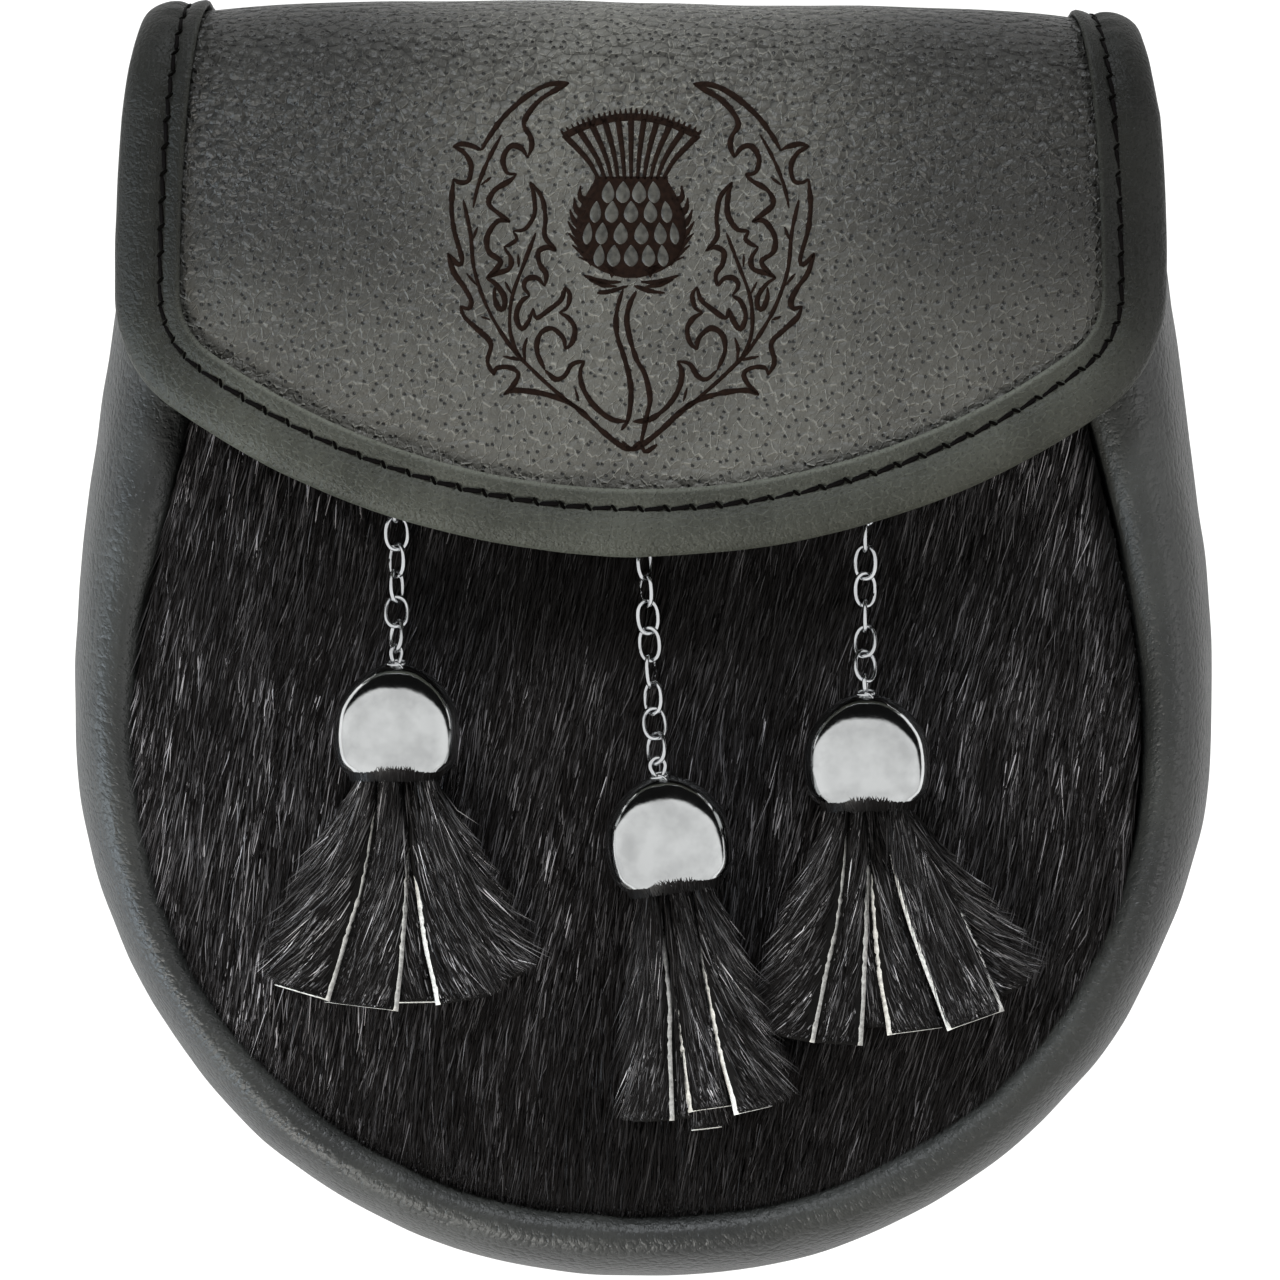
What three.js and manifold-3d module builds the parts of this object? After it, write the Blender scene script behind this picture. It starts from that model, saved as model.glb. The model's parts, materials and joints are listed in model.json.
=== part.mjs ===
// A day sporran: a hollow leather pouch with a fur front, a bound flap folded over its mouth,
// and three chain tassels. It lies on its back, as it is laid down by itself.
// Millimetres. +X is the right of the front, +Y runs to the fold at the top, +Z is up, out of the front.
// The origin is on the floor, under the middle of the pouch.

import * as THREE from "three";
import { mergeVertices } from "three/addons/utils/BufferGeometryUtils.js";
import Module from "manifold-3d";

const wasm = await Module();
wasm.setup();

// Driving dimensions

const GAP = 0.3; // clearance kept between pieces that touch
const WELD = 1e-4; // points closer than this are one point
const UPPER_SHARE = 0.38; // share of a rim that lies above its widest line

// Rims of the two stiff panels: a superellipse below the widest line, an S-curve up to the top above it.
const BACK_RIM = {
  centreX: 0,
  halfWidth: 90,
  widestY: -7.8,
  drop: 92.4,
  topY: 90.5,
  topHalfWidth: 81,
  mouthY: 66,
  roundness: 2.1,
};
const FRONT_RIM = {
  centreX: -0.6,
  halfWidth: 78.8,
  widestY: -13,
  drop: 76.9,
  topY: 62,
  topHalfWidth: 66.5,
  mouthY: 62,
  roundness: 2.1,
};

const BACK = { thick: 2.6, cornerRadius: 3, stations: 44, cornerSteps: 4 };
const FRONT = {
  thick: 2.4,
  crownZ: 34.5,
  crownFall: 3.5,
  hem: 4.5,
  rimInset: 1.3,
  stations: 32,
  topPoints: 6,
};
const FRONT_RINGS = [0, 0.4, 0.68, 0.88, 1]; // shares of the way from the middle to the rim
const GUSSET = { wall: 1.6, stations: 32 };

// One row for each bend of the gusset, from its sewn foot over the soft crest to the seam with the fur.
// inward is a share of the way from the back rim to the front seam, rise a share of the way up.
const GUSSET_SECTION = [
  { bend: "flange edge", inward: 0.62, rise: 0 },
  { bend: "flange fold", inward: 0.2, rise: 0 },
  { bend: "foot", inward: 0.1, rise: 0.07 },
  { bend: "belly", inward: 0.1, rise: 0.34 },
  { bend: "shoulder", inward: 0.27, rise: 0.8 },
  { bend: "brow", inward: 0.52, rise: 1.03 },
  { bend: "crest", inward: 0.76, rise: 1.08 },
  { bend: "dip", inward: 0.93, rise: 1.03 },
  { bend: "seam", inward: 1, rise: 0.93 },
  { bend: "turned edge", inward: 1, rise: 0.8 },
];

// The flap is cut flat and rolled: tail on the back panel, round the fold, and down the front.
const FLAP = {
  thick: 2,
  centreX: -0.5,
  tailY: 72,
  wallY: 98.1,
  lowRadius: 12,
  wallHeight: 11.1,
  highRadius: 17,
  slopeDeg: 1.9,
  foldHalfWidth: 77.2,
  halfWidth: 81.1,
  lowestY: 13,
  sweepRadius: 125,
  cornerRadius: 21,
  edgeSag: 9,
  sagPower: 5,
  foldSlant: 0.9,
  rolledRows: { tail: 1, low: 4, wall: 1, high: 5 },
  frontRows: 5,
  columns: 16,
};

// The leather strip folded round the flap's edge: inward from the flap's edge, lift from its middle.
const BINDING = { wall: 1.2, reach: 1.5, clearOfBack: 7 };
const BINDING_SECTION = [
  { bend: "upper edge", inward: 8.7, lift: 1.9 },
  { bend: "upper stitch line", inward: 5.6, lift: 1.9 },
  { bend: "roll", inward: 2.4, lift: 2.5 },
  { bend: "upper shoulder", inward: 0.2, lift: 2.15 },
  { bend: "upper nose", inward: -0.95, lift: 1.1 },
  { bend: "lower nose", inward: -0.95, lift: -1.1 },
  { bend: "lower shoulder", inward: 0.2, lift: -2 },
  { bend: "lower stitch line", inward: 5.6, lift: -1.9 },
  { bend: "lower edge", inward: 8.4, lift: -1.9 },
];

const STUD = { x: 0, y: 40, flangeRadius: 5.5, flangeThick: 1.2, postRadius: 3, sides: 14 };

const LINK = { length: 5.8, width: 4.1, wire: 0.7, slack: 0.22, squareness: 0.86, sides: 10, wireSides: 5 };
const LOOP = { baseRadius: 3, baseThick: 0.9, radius: 1.35, sink: 0.45, sides: 12 };

// Each chain rises to its cap at one end and lies on the fur towards its loop.
// landing, lying and reach are distances up from the cap's eye.
const CHAIN = { lift: 2.3, landing: 10, lying: 24, reach: 60 };

// Bell cap, from its mouth up to the wire hole at the top of the dome. It is pressed a little flat.
const CAP = { height: 17, wall: 0.9, depthShare: 0.65, sides: 14 };
const CAP_PROFILE = [
  { rise: 0, radius: 7.6 },
  { rise: 1.8, radius: 9 },
  { rise: 4.2, radius: 9.6 },
  { rise: 7.2, radius: 9.7 },
  { rise: 10.4, radius: 9.1 },
  { rise: 13.3, radius: 7.4 },
  { rise: 15.5, radius: 5 },
  { rise: 16.7, radius: 2.7 },
  { rise: 17, radius: 1.6 },
];
const EYE = {
  wire: 0.7,
  topRise: 2.9,
  halfWidth: 1.65,
  flareDepth: 0.4,
  footDepth: 2.6,
  legHalfWidth: 0.55,
  steps: 14,
  knotRadius: 1.8,
  knotDepth: 3.5,
  knotSides: 8,
  knotRings: 5,
};
const HEAD = { radius: 5.8, top: 3, sides: 12 };

// Each strip of hide is a thin slab that leaves the cap's mouth, widens, spreads and comes down onto the fur.
// rootSpread is how far apart in height the roots lie, as a share of the ends' distance from endMiddleZ.
const STRIP = { rootWidth: 2.6, thick: 1.6, rootY: -4, rootSpread: 0.5, endMiddleZ: -4.2 };

// Sections of a strip from its root to its cut end, as shares of its whole run, side step, widening and fall.
const STRIP_SECTIONS = [
  { along: 0, spread: 0, widen: 0, fall: 0 },
  { along: 0.13, spread: 0.09, widen: 0.05, fall: 0.05 },
  { along: 0.3, spread: 0.25, widen: 0.6, fall: 0.4 },
  { along: 0.6, spread: 0.56, widen: 0.9, fall: 0.85 },
  { along: 1, spread: 1, widen: 1, fall: 1 },
];

// One row for each tassel. rolls gives each link's turn about the chain, from the hidden loop down,
// and eyeRoll the turn of the wire eye. A strip's places are measured from the middle of its cap.
const TASSELS = [
  {
    name: "left",
    x: -38.1,
    y: -12.2,
    leanDeg: 0,
    chainTopX: -38.4,
    rolls: [-15, 75, 10, -52, 60, 2, -60],
    eyeRoll: 50,
    strips: [
      { rootX: -3.5, endX: -14.6, endY: -42.3, width: 9, endZ: -2.9 },
      { rootX: -0.6, endX: -5.5, endY: -44.4, width: 11.2, endZ: -3.8 },
      { rootX: 2.4, endX: 3.2, endY: -43.9, width: 7, endZ: -5.4 },
      { rootX: 3.6, endX: 10.2, endY: -43.4, width: 9, endZ: -3.4 },
      { rootX: 3.3, endX: 16.4, endY: -40.5, width: 7, endZ: -4.4 },
    ],
  },
  {
    name: "middle",
    x: 3.5,
    y: -29.4,
    leanDeg: 8,
    chainTopX: -1.8,
    rolls: [-15, -75, 55, -63, 25, -28, 67, -45, 10, -42],
    eyeRoll: 12,
    strips: [
      { rootX: -3.8, endX: -8.2, endY: -44, width: 6.5, endZ: -3.4 },
      { rootX: -2.2, endX: -4.4, endY: -44.3, width: 4.5, endZ: -5 },
      { rootX: 0.6, endX: 0.8, endY: -43.5, width: 7, endZ: -4 },
      { rootX: 3.8, endX: 7.2, endY: -44.6, width: 6.5, endZ: -3 },
      { rootX: 0.8, endX: -0.3, endY: -46.6, width: 5, endZ: -5.6 },
    ],
  },
  {
    name: "right",
    x: 34.2,
    y: -16.8,
    leanDeg: 1,
    chainTopX: 34.6,
    rolls: [15, -40, 85, -27, 26, 88, -27, 26],
    eyeRoll: 80,
    strips: [
      { rootX: -3.6, endX: -12.2, endY: -44.4, width: 7.2, endZ: -2.9 },
      { rootX: -1.6, endX: -5.2, endY: -45.4, width: 7.6, endZ: -3.9 },
      { rootX: 0.6, endX: 0.6, endY: -43, width: 5.5, endZ: -5.6 },
      { rootX: 2.2, endX: 6.8, endY: -43.8, width: 9, endZ: -4.6 },
      { rootX: 3.4, endX: 16.2, endY: -42.2, width: 9.6, endZ: -2.9 },
      { rootX: 3, endX: 21.5, endY: -38, width: 7, endZ: -4 },
    ],
  },
];

// Materials

const MATERIALS = {
  flapLeather: new THREE.MeshStandardMaterial({ color: 0x4d4c49, roughness: 0.55 }),
  bindingLeather: new THREE.MeshStandardMaterial({ color: 0x3b3c3a, roughness: 0.5 }),
  pouchLeather: new THREE.MeshStandardMaterial({ color: 0x434442, roughness: 0.5 }),
  fur: new THREE.MeshStandardMaterial({ color: 0x16130f, roughness: 0.6 }),
  stripHide: new THREE.MeshStandardMaterial({ color: 0x1d1a18, roughness: 0.7 }),
  chrome: new THREE.MeshStandardMaterial({ color: 0xc9cccd, roughness: 0.12, metalness: 1 }),
  steelWire: new THREE.MeshStandardMaterial({ color: 0xb9bdbf, roughness: 0.2, metalness: 1 }),
};

// Small helpers

const clamp01 = (t) => Math.min(1, Math.max(0, t));
const smooth = (t) => clamp01(t) ** 2 * (3 - 2 * clamp01(t));
const mix = THREE.MathUtils.lerp;
const radians = THREE.MathUtils.degToRad;

function positionsOnly(geometry) {
  const plain = new THREE.BufferGeometry();
  plain.setAttribute("position", geometry.getAttribute("position").clone());
  if (geometry.index) plain.setIndex(geometry.index.clone());
  return mergeVertices(plain, WELD);
}

function toSolid(geometry) {
  const merged = positionsOnly(geometry);
  return new wasm.Manifold(
    new wasm.Mesh({
      numProp: 3,
      vertProperties: new Float32Array(merged.attributes.position.array),
      triVerts: new Uint32Array(merged.index.array),
    }),
  );
}

function fuse(geometries) {
  const mesh = geometries
    .map(toSolid)
    .reduce((whole, part) => whole.add(part))
    .getMesh();
  const fused = new THREE.BufferGeometry();
  fused.setAttribute("position", new THREE.BufferAttribute(mesh.vertProperties, 3));
  fused.setIndex(new THREE.BufferAttribute(mesh.triVerts, 1));
  return fused;
}

function signedVolume(points, faces) {
  return faces.reduce((sum, [a, b, c]) => {
    return sum + points[a].dot(new THREE.Vector3().crossVectors(points[b], points[c])) / 6;
  }, 0);
}

// A closed wall between two skins. rows is a grid of { outer, inner } points.
// ring joins the last row to the first.
function wallGeometry(rows, ring = false) {
  const columns = rows[0].length;
  const points = rows.flat().flatMap(({ outer, inner }) => [outer, inner]);
  const outerAt = (i, j) => 2 * ((i % rows.length) * columns + j);
  const innerAt = (i, j) => outerAt(i, j) + 1;
  const faces = [];
  const quad = (a, b, c, d) => faces.push([a, b, c], [a, c, d]);
  const spans = ring ? rows.length : rows.length - 1;
  for (let i = 0; i < spans; i++) {
    for (let j = 0; j < columns - 1; j++) {
      quad(outerAt(i, j), outerAt(i + 1, j), outerAt(i + 1, j + 1), outerAt(i, j + 1));
      quad(innerAt(i, j), innerAt(i, j + 1), innerAt(i + 1, j + 1), innerAt(i + 1, j));
    }
    const last = columns - 1;
    quad(outerAt(i, 0), innerAt(i, 0), innerAt(i + 1, 0), outerAt(i + 1, 0));
    quad(outerAt(i, last), outerAt(i + 1, last), innerAt(i + 1, last), innerAt(i, last));
  }
  if (!ring) {
    const end = rows.length - 1;
    for (let j = 0; j < columns - 1; j++) {
      quad(outerAt(0, j), outerAt(0, j + 1), innerAt(0, j + 1), innerAt(0, j));
      quad(outerAt(end, j), innerAt(end, j), innerAt(end, j + 1), outerAt(end, j + 1));
    }
  }
  const turned = signedVolume(points, faces) < 0 ? faces.map(([a, b, c]) => [a, c, b]) : faces;
  const geometry = new THREE.BufferGeometry().setFromPoints(points);
  geometry.setIndex(turned.flat());
  const merged = mergeVertices(geometry, WELD);
  const index = Array.from(merged.index.array);
  const kept = [];
  for (let k = 0; k < index.length; k += 3) {
    const [a, b, c] = index.slice(k, k + 3);
    if (a !== b && b !== c && a !== c) kept.push(a, b, c);
  }
  merged.setIndex(kept);
  return merged;
}

// Offsets a section's polyline to both sides: each bend moves along the mean normal of its two stretches.
function sectionSkins(bends, wall) {
  return bends.map((bend, k) => {
    const before = bends[Math.max(0, k - 1)];
    const after = bends[Math.min(bends.length - 1, k + 1)];
    const normal = new THREE.Vector2(-(after.y - before.y), after.x - before.x).normalize();
    return {
      outer: bend.clone().addScaledVector(normal, wall / 2),
      inner: bend.clone().addScaledVector(normal, -wall / 2),
    };
  });
}

// Pouch

// A point of a panel's rim.
// share runs from -1 at the left of the mouth, by 0 at the bottom, to 1 at the right.
function rimPoint(rim, share) {
  const side = share < 0 ? -1 : 1;
  const fromBottom = Math.abs(share);
  const widestShare = 1 - UPPER_SHARE;
  if (fromBottom < widestShare) {
    const angle = (1 - fromBottom / widestShare) * (Math.PI / 2);
    const across = Math.cos(angle) ** (2 / rim.roundness);
    const down = Math.sin(angle) ** (2 / rim.roundness);
    return new THREE.Vector2(rim.centreX + side * rim.halfWidth * across, rim.widestY - rim.drop * down);
  }
  const y = mix(rim.widestY, rim.mouthY, (fromBottom - widestShare) / UPPER_SHARE);
  return new THREE.Vector2(rim.centreX + side * upperHalfWidth(rim, y), y);
}

function upperHalfWidth(rim, y) {
  return mix(rim.halfWidth, rim.topHalfWidth, smooth((y - rim.widestY) / (rim.topY - rim.widestY)));
}

// Height of the fur panel's upper face: a shallow dome.
function frontHeight(x, y) {
  const across = (x - FRONT_RIM.centreX) / FRONT_RIM.halfWidth;
  const along = (y - FRONT_RIM.widestY) / FRONT_RIM.drop;
  return FRONT.crownZ - FRONT.crownFall * (across ** 2 + along ** 2);
}

function rimShares(count) {
  return Array.from({ length: count + 1 }, (_, k) => (2 * k) / count - 1);
}

function backPanel() {
  const outline = new THREE.Shape();
  const toTop = { ...BACK_RIM, mouthY: BACK_RIM.topY - BACK.cornerRadius };
  outline.setFromPoints(rimShares(BACK.stations).map((share) => rimPoint(toTop, share)));
  const corner = BACK_RIM.topHalfWidth - BACK.cornerRadius;
  const cornerY = BACK_RIM.topY - BACK.cornerRadius;
  outline.absarc(corner, cornerY, BACK.cornerRadius, 0, Math.PI / 2);
  outline.absarc(-corner, cornerY, BACK.cornerRadius, Math.PI / 2, Math.PI);
  return new THREE.ExtrudeGeometry(outline, {
    depth: BACK.thick,
    bevelEnabled: false,
    curveSegments: BACK.cornerSteps,
  });
}

function gusset() {
  const footZ = BACK.thick + GAP + GUSSET.wall / 2;
  const rows = rimShares(GUSSET.stations).map((share) => {
    const foot = rimPoint(BACK_RIM, share);
    const seam = rimPoint(FRONT_RIM, share);
    const span = foot.distanceTo(seam);
    const inward = seam.clone().sub(foot).normalize();
    const rise = frontHeight(seam.x, seam.y) - footZ;
    const bends = GUSSET_SECTION.map((row) => new THREE.Vector2(row.inward * span, footZ + row.rise * rise));
    const place = (p) => new THREE.Vector3(foot.x + inward.x * p.x, foot.y + inward.y * p.x, p.y);
    return sectionSkins(bends, GUSSET.wall).map(({ outer, inner }) => ({
      outer: place(outer),
      inner: place(inner),
    }));
  });
  return wallGeometry(rows);
}

function frontPanel() {
  const centre = new THREE.Vector2(FRONT_RIM.centreX, FRONT_RIM.widestY);
  const left = rimPoint(FRONT_RIM, -1);
  const right = rimPoint(FRONT_RIM, 1);
  const topEdge = Array.from({ length: FRONT.topPoints - 1 }, (_, k) =>
    right.clone().lerp(left, (k + 1) / FRONT.topPoints),
  );
  const rim = [...rimShares(FRONT.stations).map((share) => rimPoint(FRONT_RIM, share)), ...topEdge];
  const insetTo = (point, distance) => point.clone().lerp(centre, distance / point.distanceTo(centre));
  const rows = rim.map((point) => {
    const outerRim = insetTo(point, FRONT.rimInset);
    const innerRim = insetTo(point, FRONT.rimInset + FRONT.thick);
    const domed = FRONT_RINGS.map((share) => {
      const over = centre.clone().lerp(outerRim, share);
      const under = centre.clone().lerp(innerRim, share);
      return {
        outer: new THREE.Vector3(over.x, over.y, frontHeight(over.x, over.y)),
        inner: new THREE.Vector3(under.x, under.y, frontHeight(under.x, under.y) - FRONT.thick),
      };
    });
    const hemZ = frontHeight(outerRim.x, outerRim.y) - FRONT.hem;
    const hem = {
      outer: new THREE.Vector3(outerRim.x, outerRim.y, hemZ),
      inner: new THREE.Vector3(innerRim.x, innerRim.y, hemZ),
    };
    return [...domed, hem];
  });
  return wallGeometry(rows, true);
}

// Flap

const TAIL_Z = BACK.thick + GAP + FLAP.thick / 2;
const ARC_START_Y = FLAP.wallY - FLAP.lowRadius;
const WALL_START_Z = TAIL_Z + FLAP.lowRadius;
const HIGH_CENTRE = { y: FLAP.wallY - FLAP.highRadius, z: WALL_START_Z + FLAP.wallHeight };
const HIGH_SWEEP = Math.PI / 2 + radians(FLAP.slopeDeg);
const ROLL = {
  tail: ARC_START_Y - FLAP.tailY,
  low: FLAP.lowRadius * (Math.PI / 2),
  wall: FLAP.wallHeight,
  high: FLAP.highRadius * HIGH_SWEEP,
};
const LENGTH_TO = {
  low: ROLL.tail,
  wall: ROLL.tail + ROLL.low,
  high: ROLL.tail + ROLL.low + ROLL.wall,
  front: ROLL.tail + ROLL.low + ROLL.wall + ROLL.high,
};
const FRONT_START_Y = HIGH_CENTRE.y + FLAP.highRadius * Math.cos(HIGH_SWEEP);

// The flap's length from its tail at which its front reaches a given y.
function lengthAtY(y) {
  return LENGTH_TO.front + (FRONT_START_Y - y) / Math.cos(radians(FLAP.slopeDeg));
}

// Side view of the rolled flap at a length from the tail.
// heading is its direction there, an angle in the YZ plane.
function rolled(length) {
  const { low, wall, high, front } = LENGTH_TO;
  if (length < low) return { y: FLAP.tailY + length, z: TAIL_Z, heading: 0 };
  if (length < wall) {
    const turn = (length - low) / FLAP.lowRadius;
    return {
      y: ARC_START_Y + FLAP.lowRadius * Math.sin(turn),
      z: WALL_START_Z - FLAP.lowRadius * Math.cos(turn),
      heading: turn,
    };
  }
  if (length < high) return { y: FLAP.wallY, z: WALL_START_Z + length - wall, heading: Math.PI / 2 };
  const turn = Math.min((length - high) / FLAP.highRadius, HIGH_SWEEP);
  const heading = Math.PI / 2 + turn;
  const beyond = Math.max(0, length - front);
  return {
    y: HIGH_CENTRE.y + FLAP.highRadius * Math.cos(turn) + beyond * Math.cos(heading),
    z: HIGH_CENTRE.z + FLAP.highRadius * Math.sin(turn) + beyond * Math.sin(heading),
    heading,
  };
}

// The flap's middle surface: a point of the flat pattern (x across, length from the tail), rolled up and
// sagging towards its side edges, half as much on the fold's wall as on the front, and not at the tail.
// lift moves it off the surface, outwards.
function flapPoint(x, length, lift = 0) {
  const { y, z, heading } = rolled(length);
  const free = (1 - Math.cos(heading)) / 2;
  const overFold = Math.sin(Math.PI * clamp01((length - LENGTH_TO.low) / (LENGTH_TO.front - LENGTH_TO.low)));
  const sag = FLAP.edgeSag * free * Math.abs(x / FLAP.halfWidth) ** FLAP.sagPower;
  const slant = FLAP.foldSlant * overFold * (x / FLAP.halfWidth);
  const out = lift - sag - slant;
  return new THREE.Vector3(x + FLAP.centreX, y + out * Math.sin(heading), z - out * Math.cos(heading));
}

// The lower edge of the flat pattern: corner arc, long sweep, corner arc.
function lowerEdge(inset) {
  const sweepCentreY = FLAP.lowestY + FLAP.sweepRadius;
  const cornerX = FLAP.halfWidth - FLAP.cornerRadius;
  const reach = FLAP.sweepRadius - FLAP.cornerRadius;
  const cornerY = sweepCentreY - Math.sqrt(reach ** 2 - cornerX ** 2);
  const half = Math.asin(cornerX / reach);
  const down = -Math.PI / 2;
  const path = new THREE.Path();
  path.absarc(-cornerX, cornerY, FLAP.cornerRadius - inset, Math.PI, 2 * Math.PI + down - half);
  path.absarc(0, sweepCentreY, FLAP.sweepRadius - inset, down - half, down + half);
  path.absarc(cornerX, cornerY, FLAP.cornerRadius - inset, down + half, 0);
  return path;
}

const FLAP_EDGE = lowerEdge(BINDING.reach);
const FOLD_EDGE_X = FLAP.foldHalfWidth - BINDING.reach;

// A place on the flat pattern: u runs across from -1 to 1. It widens as a sine from the fold's wall on.
function patternPoint(u, length) {
  const edge = FLAP_EDGE.getPointAt((u + 1) / 2);
  const share = clamp01((length - LENGTH_TO.high) / (lengthAtY(edge.y) - LENGTH_TO.high));
  return new THREE.Vector2(mix(u * FOLD_EDGE_X, edge.x, Math.sin((share * Math.PI) / 2)), length);
}

// A place on the pattern's front part: t runs from the fold to the lower edge.
function patternAt(u, t) {
  const edge = FLAP_EDGE.getPointAt((u + 1) / 2);
  return patternPoint(u, mix(LENGTH_TO.front, lengthAtY(edge.y), t));
}

function rolledLengths(stretches) {
  const starts = { tail: 0, ...LENGTH_TO };
  return stretches.flatMap((name) => {
    const count = FLAP.rolledRows[name];
    return Array.from({ length: count }, (_, k) => starts[name] + (ROLL[name] * k) / count);
  });
}

// Places across the flap, closer together towards its side edges and round corners.
function flapColumns() {
  return Array.from({ length: FLAP.columns + 1 }, (_, k) => {
    const share = (2 * k) / FLAP.columns - 1;
    return Math.sin(share * (Math.PI / 2));
  });
}

function flap() {
  const across = flapColumns();
  const rolledPart = rolledLengths(["tail", "low", "wall", "high"]).map((length) =>
    across.map((u) => patternPoint(u, length)),
  );
  const frontPart = Array.from({ length: FLAP.frontRows + 1 }, (_, k) =>
    across.map((u) => patternAt(u, k / FLAP.frontRows)),
  );
  const rows = [...rolledPart, ...frontPart].map((row) =>
    row.map((p) => ({
      outer: flapPoint(p.x, p.y, FLAP.thick / 2),
      inner: flapPoint(p.x, p.y, -FLAP.thick / 2),
    })),
  );
  return wallGeometry(rows);
}

// The flap's bound edge on the flat pattern, from the left end of the fold round to the right end.
function boundEdge() {
  const start = LENGTH_TO.low + BINDING.clearOfBack;
  const rolledSide = rolledLengths(["low", "wall", "high"]).filter((length) => length > start);
  const leftSide = [
    ...rolledSide.map((length) => patternPoint(-1, length)),
    ...Array.from({ length: FLAP.frontRows }, (_, k) => patternAt(-1, k / FLAP.frontRows)),
  ];
  const lower = flapColumns().map((u) => patternAt(u, 1));
  const rightSide = leftSide.map((p) => new THREE.Vector2(-p.x, p.y)).reverse();
  return [...leftSide, ...lower, ...rightSide];
}

function flapBinding() {
  const path = boundEdge();
  const bends = BINDING_SECTION.map((row) => new THREE.Vector2(row.inward, row.lift));
  const skins = sectionSkins(bends, BINDING.wall);
  const rows = path.map((point, k) => {
    const before = path[Math.max(0, k - 1)];
    const after = path[Math.min(path.length - 1, k + 1)];
    const along = after.clone().sub(before).normalize();
    const inward = new THREE.Vector2(along.y, -along.x);
    const place = (p) => flapPoint(point.x + inward.x * p.x, point.y + inward.y * p.x, p.y);
    return skins.map(({ outer, inner }) => ({ outer: place(outer), inner: place(inner) }));
  });
  return wallGeometry(rows);
}

// Turned round pieces

function lathe(profile, sides) {
  return new THREE.LatheGeometry(
    profile.map(([radius, y]) => new THREE.Vector2(radius, y)),
    sides,
  );
}

// The hidden press stud: one plain piece that stands between the fur panel and the flap.
function pressStud() {
  const low = frontHeight(STUD.x, STUD.y) + GAP;
  const high = flapPoint(STUD.x - FLAP.centreX, lengthAtY(STUD.y), -FLAP.thick / 2).z - GAP;
  const profile = [
    [0, low],
    [STUD.flangeRadius, low],
    [STUD.flangeRadius, low + STUD.flangeThick],
    [STUD.postRadius, low + STUD.flangeThick],
    [STUD.postRadius, high - STUD.flangeThick],
    [STUD.flangeRadius, high - STUD.flangeThick],
    [STUD.flangeRadius, high],
    [0, high],
  ];
  return lathe(profile, STUD.sides).rotateX(Math.PI / 2).translate(STUD.x, STUD.y, 0);
}

function cap() {
  const mouthY = -CAP.height / 2;
  const outer = CAP_PROFILE.map((row) => [row.radius, mouthY + row.rise]);
  const skins = sectionSkins(
    outer.map(([radius, y]) => new THREE.Vector2(radius, y)),
    2 * CAP.wall,
  );
  const inner = skins.map((skin) => [skin.outer.x, skin.outer.y]).slice(1, -1);
  const mouthLip = [CAP_PROFILE[0].radius - CAP.wall, mouthY];
  const hole = [CAP_PROFILE.at(-1).radius, mouthY + CAP.height - CAP.wall];
  const round = lathe([...outer, hole, ...inner.reverse(), mouthLip, outer[0]], CAP.sides);
  return round.scale(1, 1, CAP.depthShare);
}

// Chains

class LinkCurve extends THREE.Curve {
  // A long oval in the XY plane, length along Y.
  getPoint(t, target = new THREE.Vector3()) {
    const angle = 2 * Math.PI * t;
    const soften = (c) => Math.sign(c) * Math.abs(c) ** LINK.squareness;
    const halfLength = (LINK.length - LINK.wire) / 2;
    const halfWidth = (LINK.width - LINK.wire) / 2;
    return target.set(halfWidth * soften(Math.sin(angle)), halfLength * soften(Math.cos(angle)), 0);
  }
}

class EyeCurve extends THREE.Curve {
  // A closed hairpin of wire: a round top above the cap's hole and two close legs down through it.
  getPoint(t, target = new THREE.Vector3()) {
    const angle = 2 * Math.PI * t;
    const apex = CAP.height / 2;
    const height = (1 + Math.cos(angle)) / 2;
    const y = mix(apex - EYE.footDepth, apex + EYE.topRise, height);
    const flare = smooth((y - apex + EYE.flareDepth) / EYE.topRise);
    return target.set(mix(EYE.legHalfWidth, EYE.halfWidth, flare) * Math.sin(angle), y, 0);
  }
}

function linkGeometry() {
  return new THREE.TubeGeometry(new LinkCurve(), LINK.sides, LINK.wire / 2, LINK.wireSides, true);
}

function eyeGeometry() {
  const wire = new THREE.TubeGeometry(new EyeCurve(), EYE.steps, EYE.wire / 2, LINK.wireSides, true);
  const knot = new THREE.SphereGeometry(EYE.knotRadius, EYE.knotSides, EYE.knotRings);
  knot.translate(0, CAP.height / 2 - EYE.knotDepth, 0);
  return fuse([wire, knot]);
}

function loopGeometry() {
  const base = lathe(
    [
      [0, 0],
      [LOOP.baseRadius, 0],
      [LOOP.baseRadius, LOOP.baseThick],
      [0, LOOP.baseThick],
    ],
    LOOP.sides,
  ).rotateX(Math.PI / 2);
  const ring = new THREE.TorusGeometry(LOOP.radius, LINK.wire / 2, LINK.wireSides, LOOP.sides);
  ring.rotateY(Math.PI / 2).translate(0, 0, LOOP.baseThick + LOOP.radius - LOOP.sink);
  return fuse([base, ring]);
}

// The next joint up the chain: the place on the curve one pitch away from the last, found by halving.
function nextJoint(curve, from, pitch) {
  const halvings = 40;
  const start = curve.getPoint(from);
  let [near, far] = [from, 1];
  for (let k = 0; k < halvings; k++) {
    const middle = (near + far) / 2;
    if (curve.getPoint(middle).distanceTo(start) < pitch) near = middle;
    else far = middle;
  }
  return near;
}

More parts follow.
